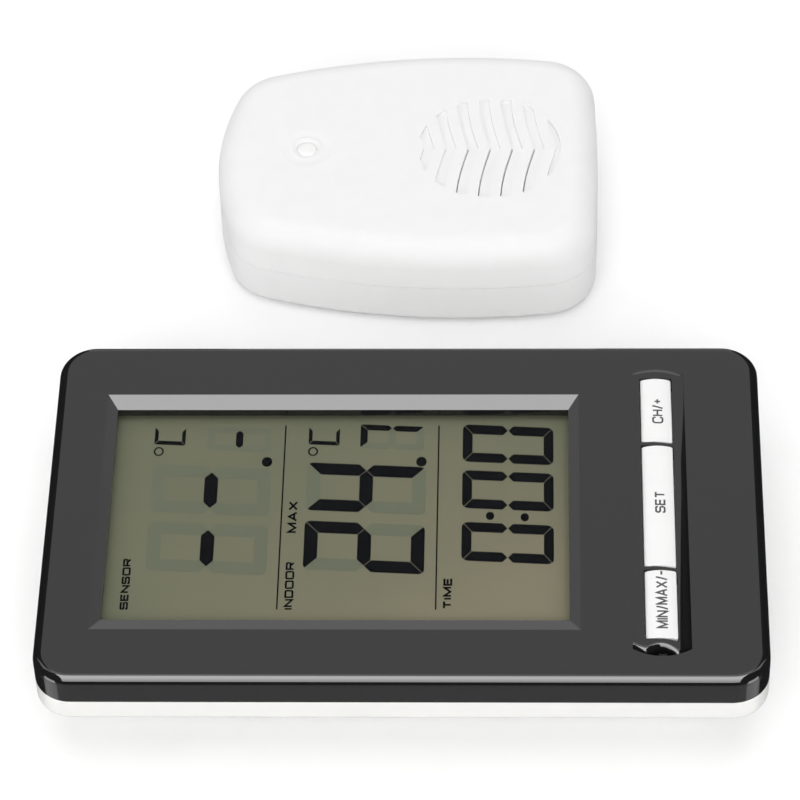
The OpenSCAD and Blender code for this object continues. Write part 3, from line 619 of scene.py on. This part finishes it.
FILM = (CELL_Z + 0.01, CELL_Z + 0.03)
SIGN = (CELL_Z + 0.035, CELL_Z + 0.05)
DEPTH_SHIFT = 0.98
SLANT = 0.055
GAP = 0.045


def shrink(poly, d):
    """Convex polygon moved inwards by d."""
    area = sum(a[0] * b[1] - b[0] * a[1] for a, b in zip(poly, poly[1:] + poly[:1]))
    if area < 0:
        poly = poly[::-1]
    out = []
    for i, b in enumerate(poly):
        a, c = poly[i - 1], poly[(i + 1) % len(poly)]
        e, f = (Vector(b) - Vector(a)).normalized(), (Vector(c) - Vector(b)).normalized()
        n, m = Vector((-e.y, e.x)), Vector((-f.y, f.x))
        out.append(tuple(Vector(b) + (n + m) * d / (1 + n.dot(m))))
    return out


def segments(w, h, tu, tv, r):
    """Seven segments, by letter, as polygons in reading direction u and downward v."""
    def corner(sx, sy, first):
        """Half of the rounded outer corner at (sx, sy), from its straight side to the diagonal."""
        cx, cy = (r, w - r)[sx], (r, h - r)[sy]
        base = {(0, 0): 180, (1, 0): 270, (1, 1): 0, (0, 1): 90}[sx, sy]
        span = (base, base + 45) if first else (base + 45, base + 90)
        return [(cx + r * math.cos(math.radians(span[0] + (span[1] - span[0]) * k / 4)),
                 cy + r * math.sin(math.radians(span[0] + (span[1] - span[0]) * k / 4))) for k in range(5)]
    mid = h / 2
    right = [(w, mid + tv / 2), (w - tu / 2, mid), (w - tu, mid + tv / 2), (w - tu, h - tv)]
    out = {
        "a": corner(0, 0, False) + corner(1, 0, True) + [(w - tu, tv), (tu, tv)],
        "d": corner(1, 1, False) + corner(0, 1, True) + [(tu, h - tv), (w - tu, h - tv)],
        "f": corner(0, 0, True)[::-1] + [(0, mid - tv / 2), (tu / 2, mid), (tu, mid - tv / 2), (tu, tv)],
        "b": corner(1, 0, False) + [(w, mid - tv / 2), (w - tu / 2, mid), (w - tu, mid - tv / 2), (w - tu, tv)],
        "e": corner(0, 1, False) + [(0, mid + tv / 2), (tu / 2, mid), (tu, mid + tv / 2), (tu, h - tv)],
        "c": corner(1, 1, True)[::-1] + right,
        "g": [(tu / 2, mid), (tu, mid - tv / 2), (w - tu, mid - tv / 2), (w - tu / 2, mid), (w - tu, mid + tv / 2),
              (tu, mid + tv / 2)],
        "L": corner(0, 0, True)[::-1] + corner(0, 1, False)[::-1] + [(tu, h - tv), (tu, tv)],
    }
    return out


def hull_order(poly):
    """Points of a convex polygon in turning order about its middle."""
    cx = sum(p[0] for p in poly) / len(poly)
    cy = sum(p[1] for p in poly) / len(poly)
    unique = []
    for p in sorted(poly, key=lambda q: math.atan2(q[1] - cy, q[0] - cx)):
        if not unique or (Vector(p) - Vector(unique[-1])).length > 1e-4:
            unique.append(p)
    return unique


def digit(bm, lit, top, centre, w, h, tu, tv, r):
    """Adds the lit segments of one digit, whose top edge is at x = top and whose middle is at y = centre."""
    shapes = segments(w, h, tu, tv, r)
    for letter in lit:
        poly = shrink(hull_order(shapes[letter]), GAP)
        spots = [(top + v, centre + DEPTH_SHIFT + u - w / 2 + SLANT * (h / 2 - v)) for u, v in poly]
        prism(bm, spots, *SIGN)


def spot(bm, x, y, rx, ry):
    """Round dot of the picture."""
    prism(bm, [(x + rx * c, y + DEPTH_SHIFT + ry * s) for c, s in disc((0, 0), 1, 32)], *SIGN)


def ring(bm, x, y, rx, ry, stroke):
    """Round ring of the picture."""
    path = [(y + DEPTH_SHIFT + ry * s, x + rx * c) for c, s in disc((0, 0), 1, 32)]
    ribbon(bm, path, stroke / 2, True, lambda u, v: (v, u), lambda _: SIGN[0], lambda _: SIGN[1], 1)


BIG = dict(w=10.3, h=19.6, tu=2.55, tv=2.3, r=1.1)
SMALL = dict(w=5.2, h=10.6, tu=1.3, tv=1.28, r=0.5)
CLOCK = dict(w=8.2, h=15.0, tu=2.1, tv=1.7, r=1.2)
UNIT = dict(w=3.88, h=5.2, tu=0.93, tv=0.69, r=0.3)

bm = bmesh.new()
digit(bm, "abged", -16.25, -6.58, **BIG)
digit(bm, "fgbc", -16.25, 5.87, **BIG)
digit(bm, "abc", -7.7, 16.99, **SMALL)
digit(bm, "g", -41.62, -6.77, **BIG)
digit(bm, "g", -41.62, 5.51, **BIG)
digit(bm, "g", -32.9, 16.53, **SMALL)
for y in (15.35, 5.39, -5.66):
    digit(bm, "abcdef", 9.2, y, **CLOCK)
for x in (-41.7, -16.22):
    digit(bm, "aLd", x, 17.2, **UNIT)
for x, y in ((-22.87, 11.61), (2.5, 11.66)):
    spot(bm, x, y, 0.86, 1.05)
for x, y in ((13.83, 0.05), (19.46, -0.24)):
    spot(bm, x, y, 0.68, 0.87)
for x, y in ((-40.83, 13.87), (-15.38, 13.87)):
    ring(bm, x, y, 0.7, 0.84, 0.27)
for x in (-20.05, 5.28):
    box(bm, (x - 0.12, -19.45 + DEPTH_SHIFT, SIGN[0]), (x + 0.12, 19.55 + DEPTH_SHIFT, SIGN[1]))
for word, top, bottom, start, end, weight in (
        ("SENSOR", -45.2, -43.85, -19.54, -9.0, 0.33), ("INDOOR", -18.95, -17.5, -19.5, -9.66, 0.33),
        ("MAX", -19.0, -17.4, -3.57, 3.13, 0.36), ("TIME", 6.43, 7.87, -19.33, -12.91, 0.36)):
    lettering(bm, word, top, bottom, start + DEPTH_SHIFT, end + DEPTH_SHIFT, weight,
              lambda _: SIGN[0], lambda _: SIGN[1])
finish_piece(from_bmesh("lcd_picture", bm, ink), "display", "lcd_glass")

# Faint unlit segments, drawn darker than the panel as their own tint plus painted shadow on the reflector.
bm = bmesh.new()
for y in (-6.77, 5.51):
    digit(bm, "abcdef", -41.62, y, **BIG)
digit(bm, "abcdef", -32.9, 16.53, **SMALL)
digit(bm, "fc", -16.25, -6.58, **BIG)
digit(bm, "aed", -16.25, 5.87, **BIG)
digit(bm, "defg", -7.7, 16.99, **SMALL)
finish_piece(from_bmesh("lcd_idle_segments", bm, idle_tint_and_shadow), "display", "lcd_glass")

bm = bmesh.new()
film_w, film_d = (GLASS_HI.x - GLASS_LO.x) / 2 - 0.3, (GLASS_HI.y - GLASS_LO.y) / 2 - 0.3
prism(bm, round_rect((2 * film_w, 2 * film_d), 0.3, WINDOW_AT, 3), *FILM)
finish_piece(from_bmesh("lcd_polariser", bm, lcd_tone_and_reflection), "display", "lcd_glass")

# ---- Sensor covers ----

shell_lo, shell_hi = (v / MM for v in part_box("sensor_front_shell"))
SENSOR_Y = (shell_lo.y + shell_hi.y) / 2
SENSOR_H = shell_hi.z
SEAM_Z = shell_lo.z
SKIN = 1.6
PLAN_CORNER = 9.2
UPPER_R, LOWER_R = 4.7, 2.2
DEEP_X, HALF_D = 8.3, 25.5
ENDS = (-34.5, 32.2)
BULGE = (124.0, 44.0, 300.0)
PLAN_DISCS = [((DEEP_X, SENSOR_Y + BULGE[0] - HALF_D), BULGE[0]), ((DEEP_X, SENSOR_Y - BULGE[0] + HALF_D), BULGE[0]),
              ((ENDS[0] + BULGE[1], SENSOR_Y), BULGE[1]), ((ENDS[1] - BULGE[2], SENSOR_Y), BULGE[2])]


def plan_core():
    """(x, y, normal angle) round the intersection of the plan's discs, each shrunk by the corner radius."""
    discs = [(Vector(c), r - PLAN_CORNER) for c, r in PLAN_DISCS]
    tips = []
    for i, (c, r) in enumerate(discs):
        for d, s in discs[i + 1:]:
            gap = (d - c).length
            if gap > r + s or gap < abs(r - s):
                continue
            along = (gap * gap + r * r - s * s) / (2 * gap)
            off = math.sqrt(r * r - along * along)
            e = (d - c) / gap
            for side in (1, -1):
                p = c + e * along + Vector((-e.y, e.x)) * off * side
                if all((p - q).length <= t + 1e-3 for q, t in discs):
                    tips.append(p)
    middle = sum(tips, Vector((0, 0))) / len(tips)
    tips.sort(key=lambda p: math.atan2(p.y - middle.y, p.x - middle.x))

    def owner(a, b):
        """The disc whose edge both tips lie on."""
        return next((c, r) for c, r in discs
                    if abs((a - c).length - r) < 2e-3 and abs((b - c).length - r) < 2e-3)

    out = []
    for i, tip in enumerate(tips):
        after = tips[(i + 1) % len(tips)]
        before = tips[i - 1]
        c0, _ = owner(before, tip)
        c1, r1 = owner(tip, after)
        a0 = math.atan2(tip.y - c0.y, tip.x - c0.x)
        a1 = math.atan2(tip.y - c1.y, tip.x - c1.x)
        turn = (a1 - a0) % math.tau
        out += [(tip.x, tip.y, a0 + turn * k / 16) for k in range(17)]
        a2 = math.atan2(after.y - c1.y, after.x - c1.x)
        sweep = (a2 - a1) % math.tau
        parts = max(4, math.ceil(sweep * r1 / 1.6))
        out += [(c1.x + r1 * math.cos(a1 + sweep * k / parts), c1.y + r1 * math.sin(a1 + sweep * k / parts),
                 a1 + sweep * k / parts) for k in range(1, parts)]
    return out


CORE = plan_core()


def sensor_ring(inset, z):
    """The plan outline moved inwards by inset, at height z."""
    r = PLAN_CORNER - inset
    return [(x + r * math.cos(a), y + r * math.sin(a), z) for x, y, a in CORE]


def upper_rings(inset, z0):
    """Rings of the front cover from z0 up its wall and round its edge; inset is 0 outside and SKIN inside."""
    rings = [sensor_ring(inset, z0)]
    rise = UPPER_R - inset
    for k in range(15):
        a = math.pi / 2 * k / 14
        rings.append(sensor_ring(inset + rise * (1 - math.cos(a)), SENSOR_H - UPPER_R + rise * math.sin(a)))
    return rings


def lower_rings(inset, z1):
    """Rings of the rear cover from its bottom edge up to z1."""
    rings = []
    rise = LOWER_R - inset
    for k in range(9):
        a = math.pi / 2 * (1 - k / 8)
        rings.append(sensor_ring(inset + rise * (1 - math.cos(a)), LOWER_R - rise * math.sin(a)))
    return rings + [sensor_ring(inset, z1)]


def post(bm, at, r, low, high):
    """Upright round bar."""
    prism(bm, disc(at, r, 32), low, high)


def turned(bm, rings, steps):
    """Body turned about the signal light's axis, from (radius, height) pairs."""
    loft(bm, [[(x, y, z) for x, y in disc((LIGHT_X, SENSOR_Y), r, steps)] for r, z in rings])


GRILLE_X, GRILLE_R = 13.2, 12.5
SLOT_PITCH, SLOT_W, SLOT_DEPTH = 3.86, 1.86, 0.7
SLIT_W = 0.16
LIGHT_X = -18.8
DISH_R, DISH_BALL_R, DISH_DEPTH = 4.9, 30.0, 0.35
LIGHT_HOLE_R, LIGHT_CAP_R = 1.75, 1.74


def sway(t):
    """Sideways shift of a slot at height t, from -1 at its near end to 1 at its far end."""
    return 2 * (1 - math.sin(math.pi / 2 * abs(t)))


def grille_strip(bm, x, width, low, high, z0, z1):
    """Wavy strip about x, clipped by the grille's circle."""
    left, right = [], []
    steps = 40
    for k in range(steps + 1):
        t = low + (high - low) * k / steps
        limit = GRILLE_R * math.sqrt(max(1 - t * t, 0))
        a = max(x - width / 2 + sway(t), -limit)
        b = min(x + width / 2 + sway(t), limit)
        if b - a > 0.1:
            left.append((GRILLE_X + a, SENSOR_Y + GRILLE_R * t))
            right.append((GRILLE_X + b, SENSOR_Y + GRILLE_R * t))
    if len(left) > 2:
        prism(bm, left + right[::-1], z0, z1)


def dish_tool(bm):
    """Shallow dish with a low ring about the signal light's hole."""
    rings = []
    for k in range(25):
        r = DISH_R * (1 - k / 24) + LIGHT_HOLE_R * k / 24
        z = SENSOR_H - (math.sqrt(DISH_BALL_R ** 2 - r * r) - (DISH_BALL_R - DISH_DEPTH))
        z += 0.2 * math.exp(-((r - 2.45) / 0.45) ** 2)
        rings.append((r, z))
    turned(bm, [(DISH_R, SENSOR_H + 1)] + rings + [(LIGHT_HOLE_R, SENSOR_H - 4)], 72)


SCREW_POSTS = [(x, SENSOR_Y + s * y) for x, y in ((-24.5, 14.4), (22.0, 19.9)) for s in (1, -1)]
BOARD_POSTS = [(-12.0, SENSOR_Y + s * 14.2) for s in (1, -1)]
SCREW_POST_R, BOARD_POST_R, LIGHT_POST_R = 2.2, 1.8, 2.9
SCREW_PILOT_R, BOARD_PILOT_R, SCREW_HEAD_R, SCREW_SHANK_R = 0.95, 0.85, 1.9, 1.15

bm = bmesh.new()
loft(bm, [sensor_ring(0.1, SEAM_Z)] + upper_rings(0, SEAM_Z + 0.1))
front = from_bmesh("sensor_front_cover", bm, materials["sensor_plastic"])
carve_with(front, lambda bm: loft(bm, upper_rings(SKIN, SEAM_Z - 1)))
for at in SCREW_POSTS:
    carve_with(front, lambda bm: post(bm, at, SCREW_POST_R, SEAM_Z + 0.1, SENSOR_H - SKIN + 0.1), "UNION")
for at in BOARD_POSTS:
    carve_with(front, lambda bm: post(bm, at, BOARD_POST_R, 13.8, SENSOR_H - SKIN + 0.1), "UNION")
carve_with(front, lambda bm: post(bm, (LIGHT_X, SENSOR_Y), LIGHT_POST_R, SENSOR_H - SKIN - 0.6, SENSOR_H - 0.8),
           "UNION")
carve_with(front, dish_tool)
for at in SCREW_POSTS:
    carve_with(front, lambda bm: post(bm, at, SCREW_PILOT_R, SEAM_Z - 1, SENSOR_H - 2.4))
for at in BOARD_POSTS:
    carve_with(front, lambda bm: post(bm, at, BOARD_PILOT_R, 12.8, SENSOR_H - 1))
for i in range(-3, 4):
    carve_with(front, lambda bm: grille_strip(bm, i * SLOT_PITCH - 1, SLOT_W, -1, 1, SENSOR_H - SLOT_DEPTH,
                                              SENSOR_H + 1))
soften(front, 0.12)
for i in range(-1, 3):
    carve_with(front, lambda bm: grille_strip(bm, i * SLOT_PITCH - 1.83, SLIT_W, -0.9, 0.02, SENSOR_H - 3,
                                              SENSOR_H + 1))
weigh(front)
finish_piece(front, "sensor", "sensor_plastic", "sensor_front_shell")

bm = bmesh.new()
loft(bm, lower_rings(0, SEAM_Z))
rear = from_bmesh("sensor_rear_cover", bm, materials["sensor_plastic"])
carve_with(rear, lambda bm: loft(bm, lower_rings(SKIN, SEAM_Z + 1)))
bm = bmesh.new()
loft(bm, [sensor_ring(SKIN + 0.1, SEAM_Z - 1), sensor_ring(SKIN + 0.1, SEAM_Z + 1)])
tongue = from_bmesh("tongue", bm)
carve_with(tongue, lambda bm: loft(bm, [sensor_ring(SKIN + 0.9, SEAM_Z - 2), sensor_ring(SKIN + 0.9, SEAM_Z + 2)]))
for at in SCREW_POSTS:
    carve_with(tongue, lambda bm: post(bm, at, 2.4, SEAM_Z - 2, SEAM_Z + 2))
carve(rear, tongue, "UNION")
for at in SCREW_POSTS:
    carve_with(rear, lambda bm: post(bm, at, SCREW_POST_R, SKIN - 0.1, SEAM_Z), "UNION")
BAY_X, BAY_L, BAY_TOP = 4.1, 51.0, 12.3
bay_x0 = BAY_X - BAY_L / 2 - 1.4
BAY_WALLS = (((bay_x0, -12.3), (bay_x0 + 1.4, 11.5)), ((bay_x0, -12.3), (30.3, -11.1)),
             ((bay_x0, 16.6), (30, 17.4)))
for (x0, y0), (x1, y1) in BAY_WALLS:
    carve_with(rear, lambda bm: box(bm, (x0, SENSOR_Y + y0, SKIN - 0.1), (x1, SENSOR_Y + y1, BAY_TOP)), "UNION")
door_x0 = BAY_X - BAY_L / 2 - 0.5
carve_with(rear, lambda bm: box(bm, (door_x0, SENSOR_Y - 12.15, -1), (50, SENSOR_Y + 16.65, SKIN + 0.001)))
carve_with(rear, lambda bm: box(bm, (door_x0, SENSOR_Y - 12.95, 0.5), (50, SENSOR_Y + 17.45, 1.2)))


def keyhole_tool(bm):
    """Hole with a slot to hang the sensor by."""
    x, big, small, reach = -27.0, 3.2, 1.7, 2.6
    outline = []
    limit = math.asin(small / big)
    for k in range(33):
        a = math.pi - limit - (math.tau - 2 * limit) * k / 32
        outline.append((x + big * math.cos(a), SENSOR_Y + big * math.sin(a)))
    for k in range(13):
        a = -math.pi / 2 - math.pi * k / 12
        outline.append((x - reach + small * math.cos(a), SENSOR_Y + small * math.sin(a)))
    prism(bm, outline, -1, SKIN + 1)


carve_with(rear, keyhole_tool)
for at in SCREW_POSTS:
    carve_with(rear, lambda bm: post(bm, at, SCREW_HEAD_R, -1, 3))
    carve_with(rear, lambda bm: post(bm, at, SCREW_SHANK_R, 2, SEAM_Z + 1))
soften(rear, 0.12)
weigh(rear)
finish_piece(rear, "sensor", "sensor_plastic", "sensor_rear_shell")


def cap_rings():
    """Pin of the signal light's cap with a low dome, bottom to top."""
    rings = [(LIGHT_CAP_R, 15.6), (LIGHT_CAP_R, SENSOR_H - 0.5)]
    for k in range(1, 9):
        a = math.pi / 2 * k / 8
        rings.append((1.72 * math.cos(a) + 0.02, SENSOR_H - 0.5 + 0.45 * math.sin(a)))
    return rings


bm = bmesh.new()
turned(bm, cap_rings(), 48)
finish_piece(from_bmesh("signal_light_cap", bm, materials["lens_plastic"]), "sensor", "lens_plastic", "sensor_lens")

# ---- Floor ----

# Flat, in metres, with a round sweep up behind the set
FLOOR_W, FLOOR_NEAR, FLOOR_FAR, SWEEP_R, SWEEP_STEPS = 4.0, -2.0, 1.2, 0.5, 24
profile = [(FLOOR_NEAR, 0.0), (FLOOR_FAR, 0.0)]
for k in range(1, SWEEP_STEPS + 1):
    a = math.pi / 2 * k / SWEEP_STEPS
    profile.append((FLOOR_FAR + SWEEP_R * math.sin(a), SWEEP_R * (1 - math.cos(a))))
bm = bmesh.new()
rows = [[bm.verts.new((x, y, z)) for x in (-FLOOR_W, FLOOR_W)] for y, z in profile]
for a, b in zip(rows, rows[1:]):
    bm.faces.new((a[0], a[1], b[1], b[0]))
mesh = bpy.data.meshes.new("floor")
bm.to_mesh(mesh)
bm.free()
mesh.shade_smooth()
floor = new_object("floor", mesh, shader("floor_paper", (0.95, 0.95, 0.95), rough=0.7, vary=0.004, grain=60, bump=0.0))
floor.visible_glossy = False

# ---- Camera and lights ----

PITCH, YAW, ROLL = math.radians(48.310), math.radians(-2.6716), math.radians(-2.0167)
CAMERA_AT = (0.020378, -0.438303, 0.538725)
forward = Vector((math.sin(YAW) * math.cos(PITCH), math.cos(YAW) * math.cos(PITCH), -math.sin(PITCH)))
level = Vector((math.cos(YAW), -math.sin(YAW), 0))
rise = level.cross(forward)
right = math.cos(ROLL) * level + math.sin(ROLL) * rise
up = -math.sin(ROLL) * level + math.cos(ROLL) * rise
camera = bpy.data.objects.new("camera", bpy.data.cameras.new("camera"))
camera.data.sensor_width = 36
camera.data.lens = 189.24
camera.data.clip_start = 0.01
axes = zip(right, up, -forward, CAMERA_AT)
camera.matrix_world = Matrix((*axes, (0, 0, 0, 1)))
bpy.context.scene.collection.objects.link(camera)
bpy.context.scene.camera = camera
bpy.context.scene.view_settings.view_transform = "Standard"


def softbox(name, at, towards, size, radiance, seen):
    """Rectangular light of the given radiance that is seen by mirrors only, or by diffuse surfaces only."""
    light = bpy.data.lights.new(name, "AREA")
    light.shape = "RECTANGLE"
    light.size, light.size_y = size
    light.energy = radiance * math.pi * size[0] * size[1]
    obj = bpy.data.objects.new(name, light)
    at, towards = Vector(at), Vector(towards)
    obj.rotation_euler = (towards - at).to_track_quat("-Z", "Y").to_euler()
    obj.location = at
    obj.visible_camera = False
    obj.visible_diffuse = seen == "diffuse"
    obj.visible_glossy = seen == "mirror"
    bpy.context.scene.collection.objects.link(obj)


ARC_R = 1.5
AIM = Vector((0, 0, 0.02))


def arc_panel(name, first, last, x0, x1, radiance):
    """Mirrored panel on an arc over the table, between two elevations measured up from the far horizon."""
    middle, half = math.radians((first + last) / 2), math.radians((last - first) / 2)
    at = AIM + Vector(((x0 + x1) / 2, ARC_R * math.cos(middle), ARC_R * math.sin(middle)))
    softbox(name, at, AIM + Vector(((x0 + x1) / 2, 0, 0)), (x1 - x0, 2 * ARC_R * math.tan(half)), radiance, "mirror")


# What the glossy bezel mirrors: a pale card behind the set and a bright softbox above it
for k, (first, last, x0, x1, radiance) in enumerate((
        (3, 22, -2.2, 2.2, 1.05), (22, 38, -2.2, 2.2, 0.9), (38, 60, -2.2, 2.2, 0.82),
        (60, 84, -1.6, 1.6, 1.8), (84, 103, -0.6, 0.55, 8.0), (103, 122, -0.6, 0.55, 8.5),
        (122, 141, -0.6, 0.55, 6.5), (141, 160, -0.6, 0.55, 5.0))):
    arc_panel("mirror_%d" % k, first, last, x0, x1, radiance)
for side in (-1, 1):
    for k, (x, y, z, size, radiance) in enumerate(((0.77, -0.54, -0.26, (0.38, 0.4), 4.2),
                                                   (0.62, -0.26, -0.72, (0.38, 0.42), 0.7))):
        direction = Vector((x * side, y, z)).normalized()
        softbox("corner_%d_%d" % (side > 0, k), AIM + direction * 0.8, AIM, size, radiance, "mirror")
softbox("low_card", AIM + Vector((0, -0.61, -0.784)), AIM, (2.4, 1.2), 0.4, "mirror")

# Black cards close to the display's two ends, which only its glossy rim mirrors
CARD_X, CARD_Y, CARD_Z = 0.0603, (-0.029, 0.07), (0.0195, 0.037)
for side in (-1, 1):
    bm = bmesh.new()
    outline = [(y, CARD_Z[0]) for y in CARD_Y] + [(y, CARD_Z[1]) for y in CARD_Y[::-1]]
    bm.faces.new([bm.verts.new((side * CARD_X, y, z)) for y, z in outline])
    mesh = bpy.data.meshes.new("card")
    bm.to_mesh(mesh)
    bm.free()
    black = shader("black_card_%d" % (side > 0), (0.004, 0.004, 0.004), rough=0.9)
    card = new_object("card_%d" % (side > 0), mesh, black)
    card.visible_camera = False
    card.visible_diffuse = False
    card.visible_shadow = False

# What lights the pale plastics: wide soft light from above and from the camera's side
for name, at, size, radiance in (
        ("top", (0, 0.1, 1.6), (1.6, 1.6), 1.4),
        ("front", (0, -1.4, 1.1), (2.2, 1.3), 3.1),
        ("left", (-1.5, 0.0, 0.9), (1.5, 1.2), 1.5),
        ("right", (1.5, 0.0, 0.9), (1.5, 1.2), 1.1),
        ("back", (0, 1.6, 0.9), (2.2, 1.2), 1.5)):
    softbox("fill_" + name, at, AIM, size, radiance, "diffuse")

# Dim surroundings, brighter to the left and right
world = bpy.data.worlds.new("studio")
bpy.context.scene.world = world
world.use_nodes = True
tree = world.node_tree
make, link = tree.nodes.new, tree.links.new
coords = make("ShaderNodeTexCoord")
split = make("ShaderNodeSeparateXYZ")
link(coords.outputs["Generated"], split.inputs["Vector"])
side_share = make("ShaderNodeMath")
side_share.operation = "ABSOLUTE"
link(split.outputs["X"], side_share.inputs[0])
strength = make("ShaderNodeMath")
strength.operation = "MULTIPLY_ADD"
strength.inputs[1].default_value = 0.35
strength.inputs[2].default_value = 0.3
link(side_share.outputs["Value"], strength.inputs[0])
link(strength.outputs["Value"], tree.nodes["Background"].inputs["Strength"])
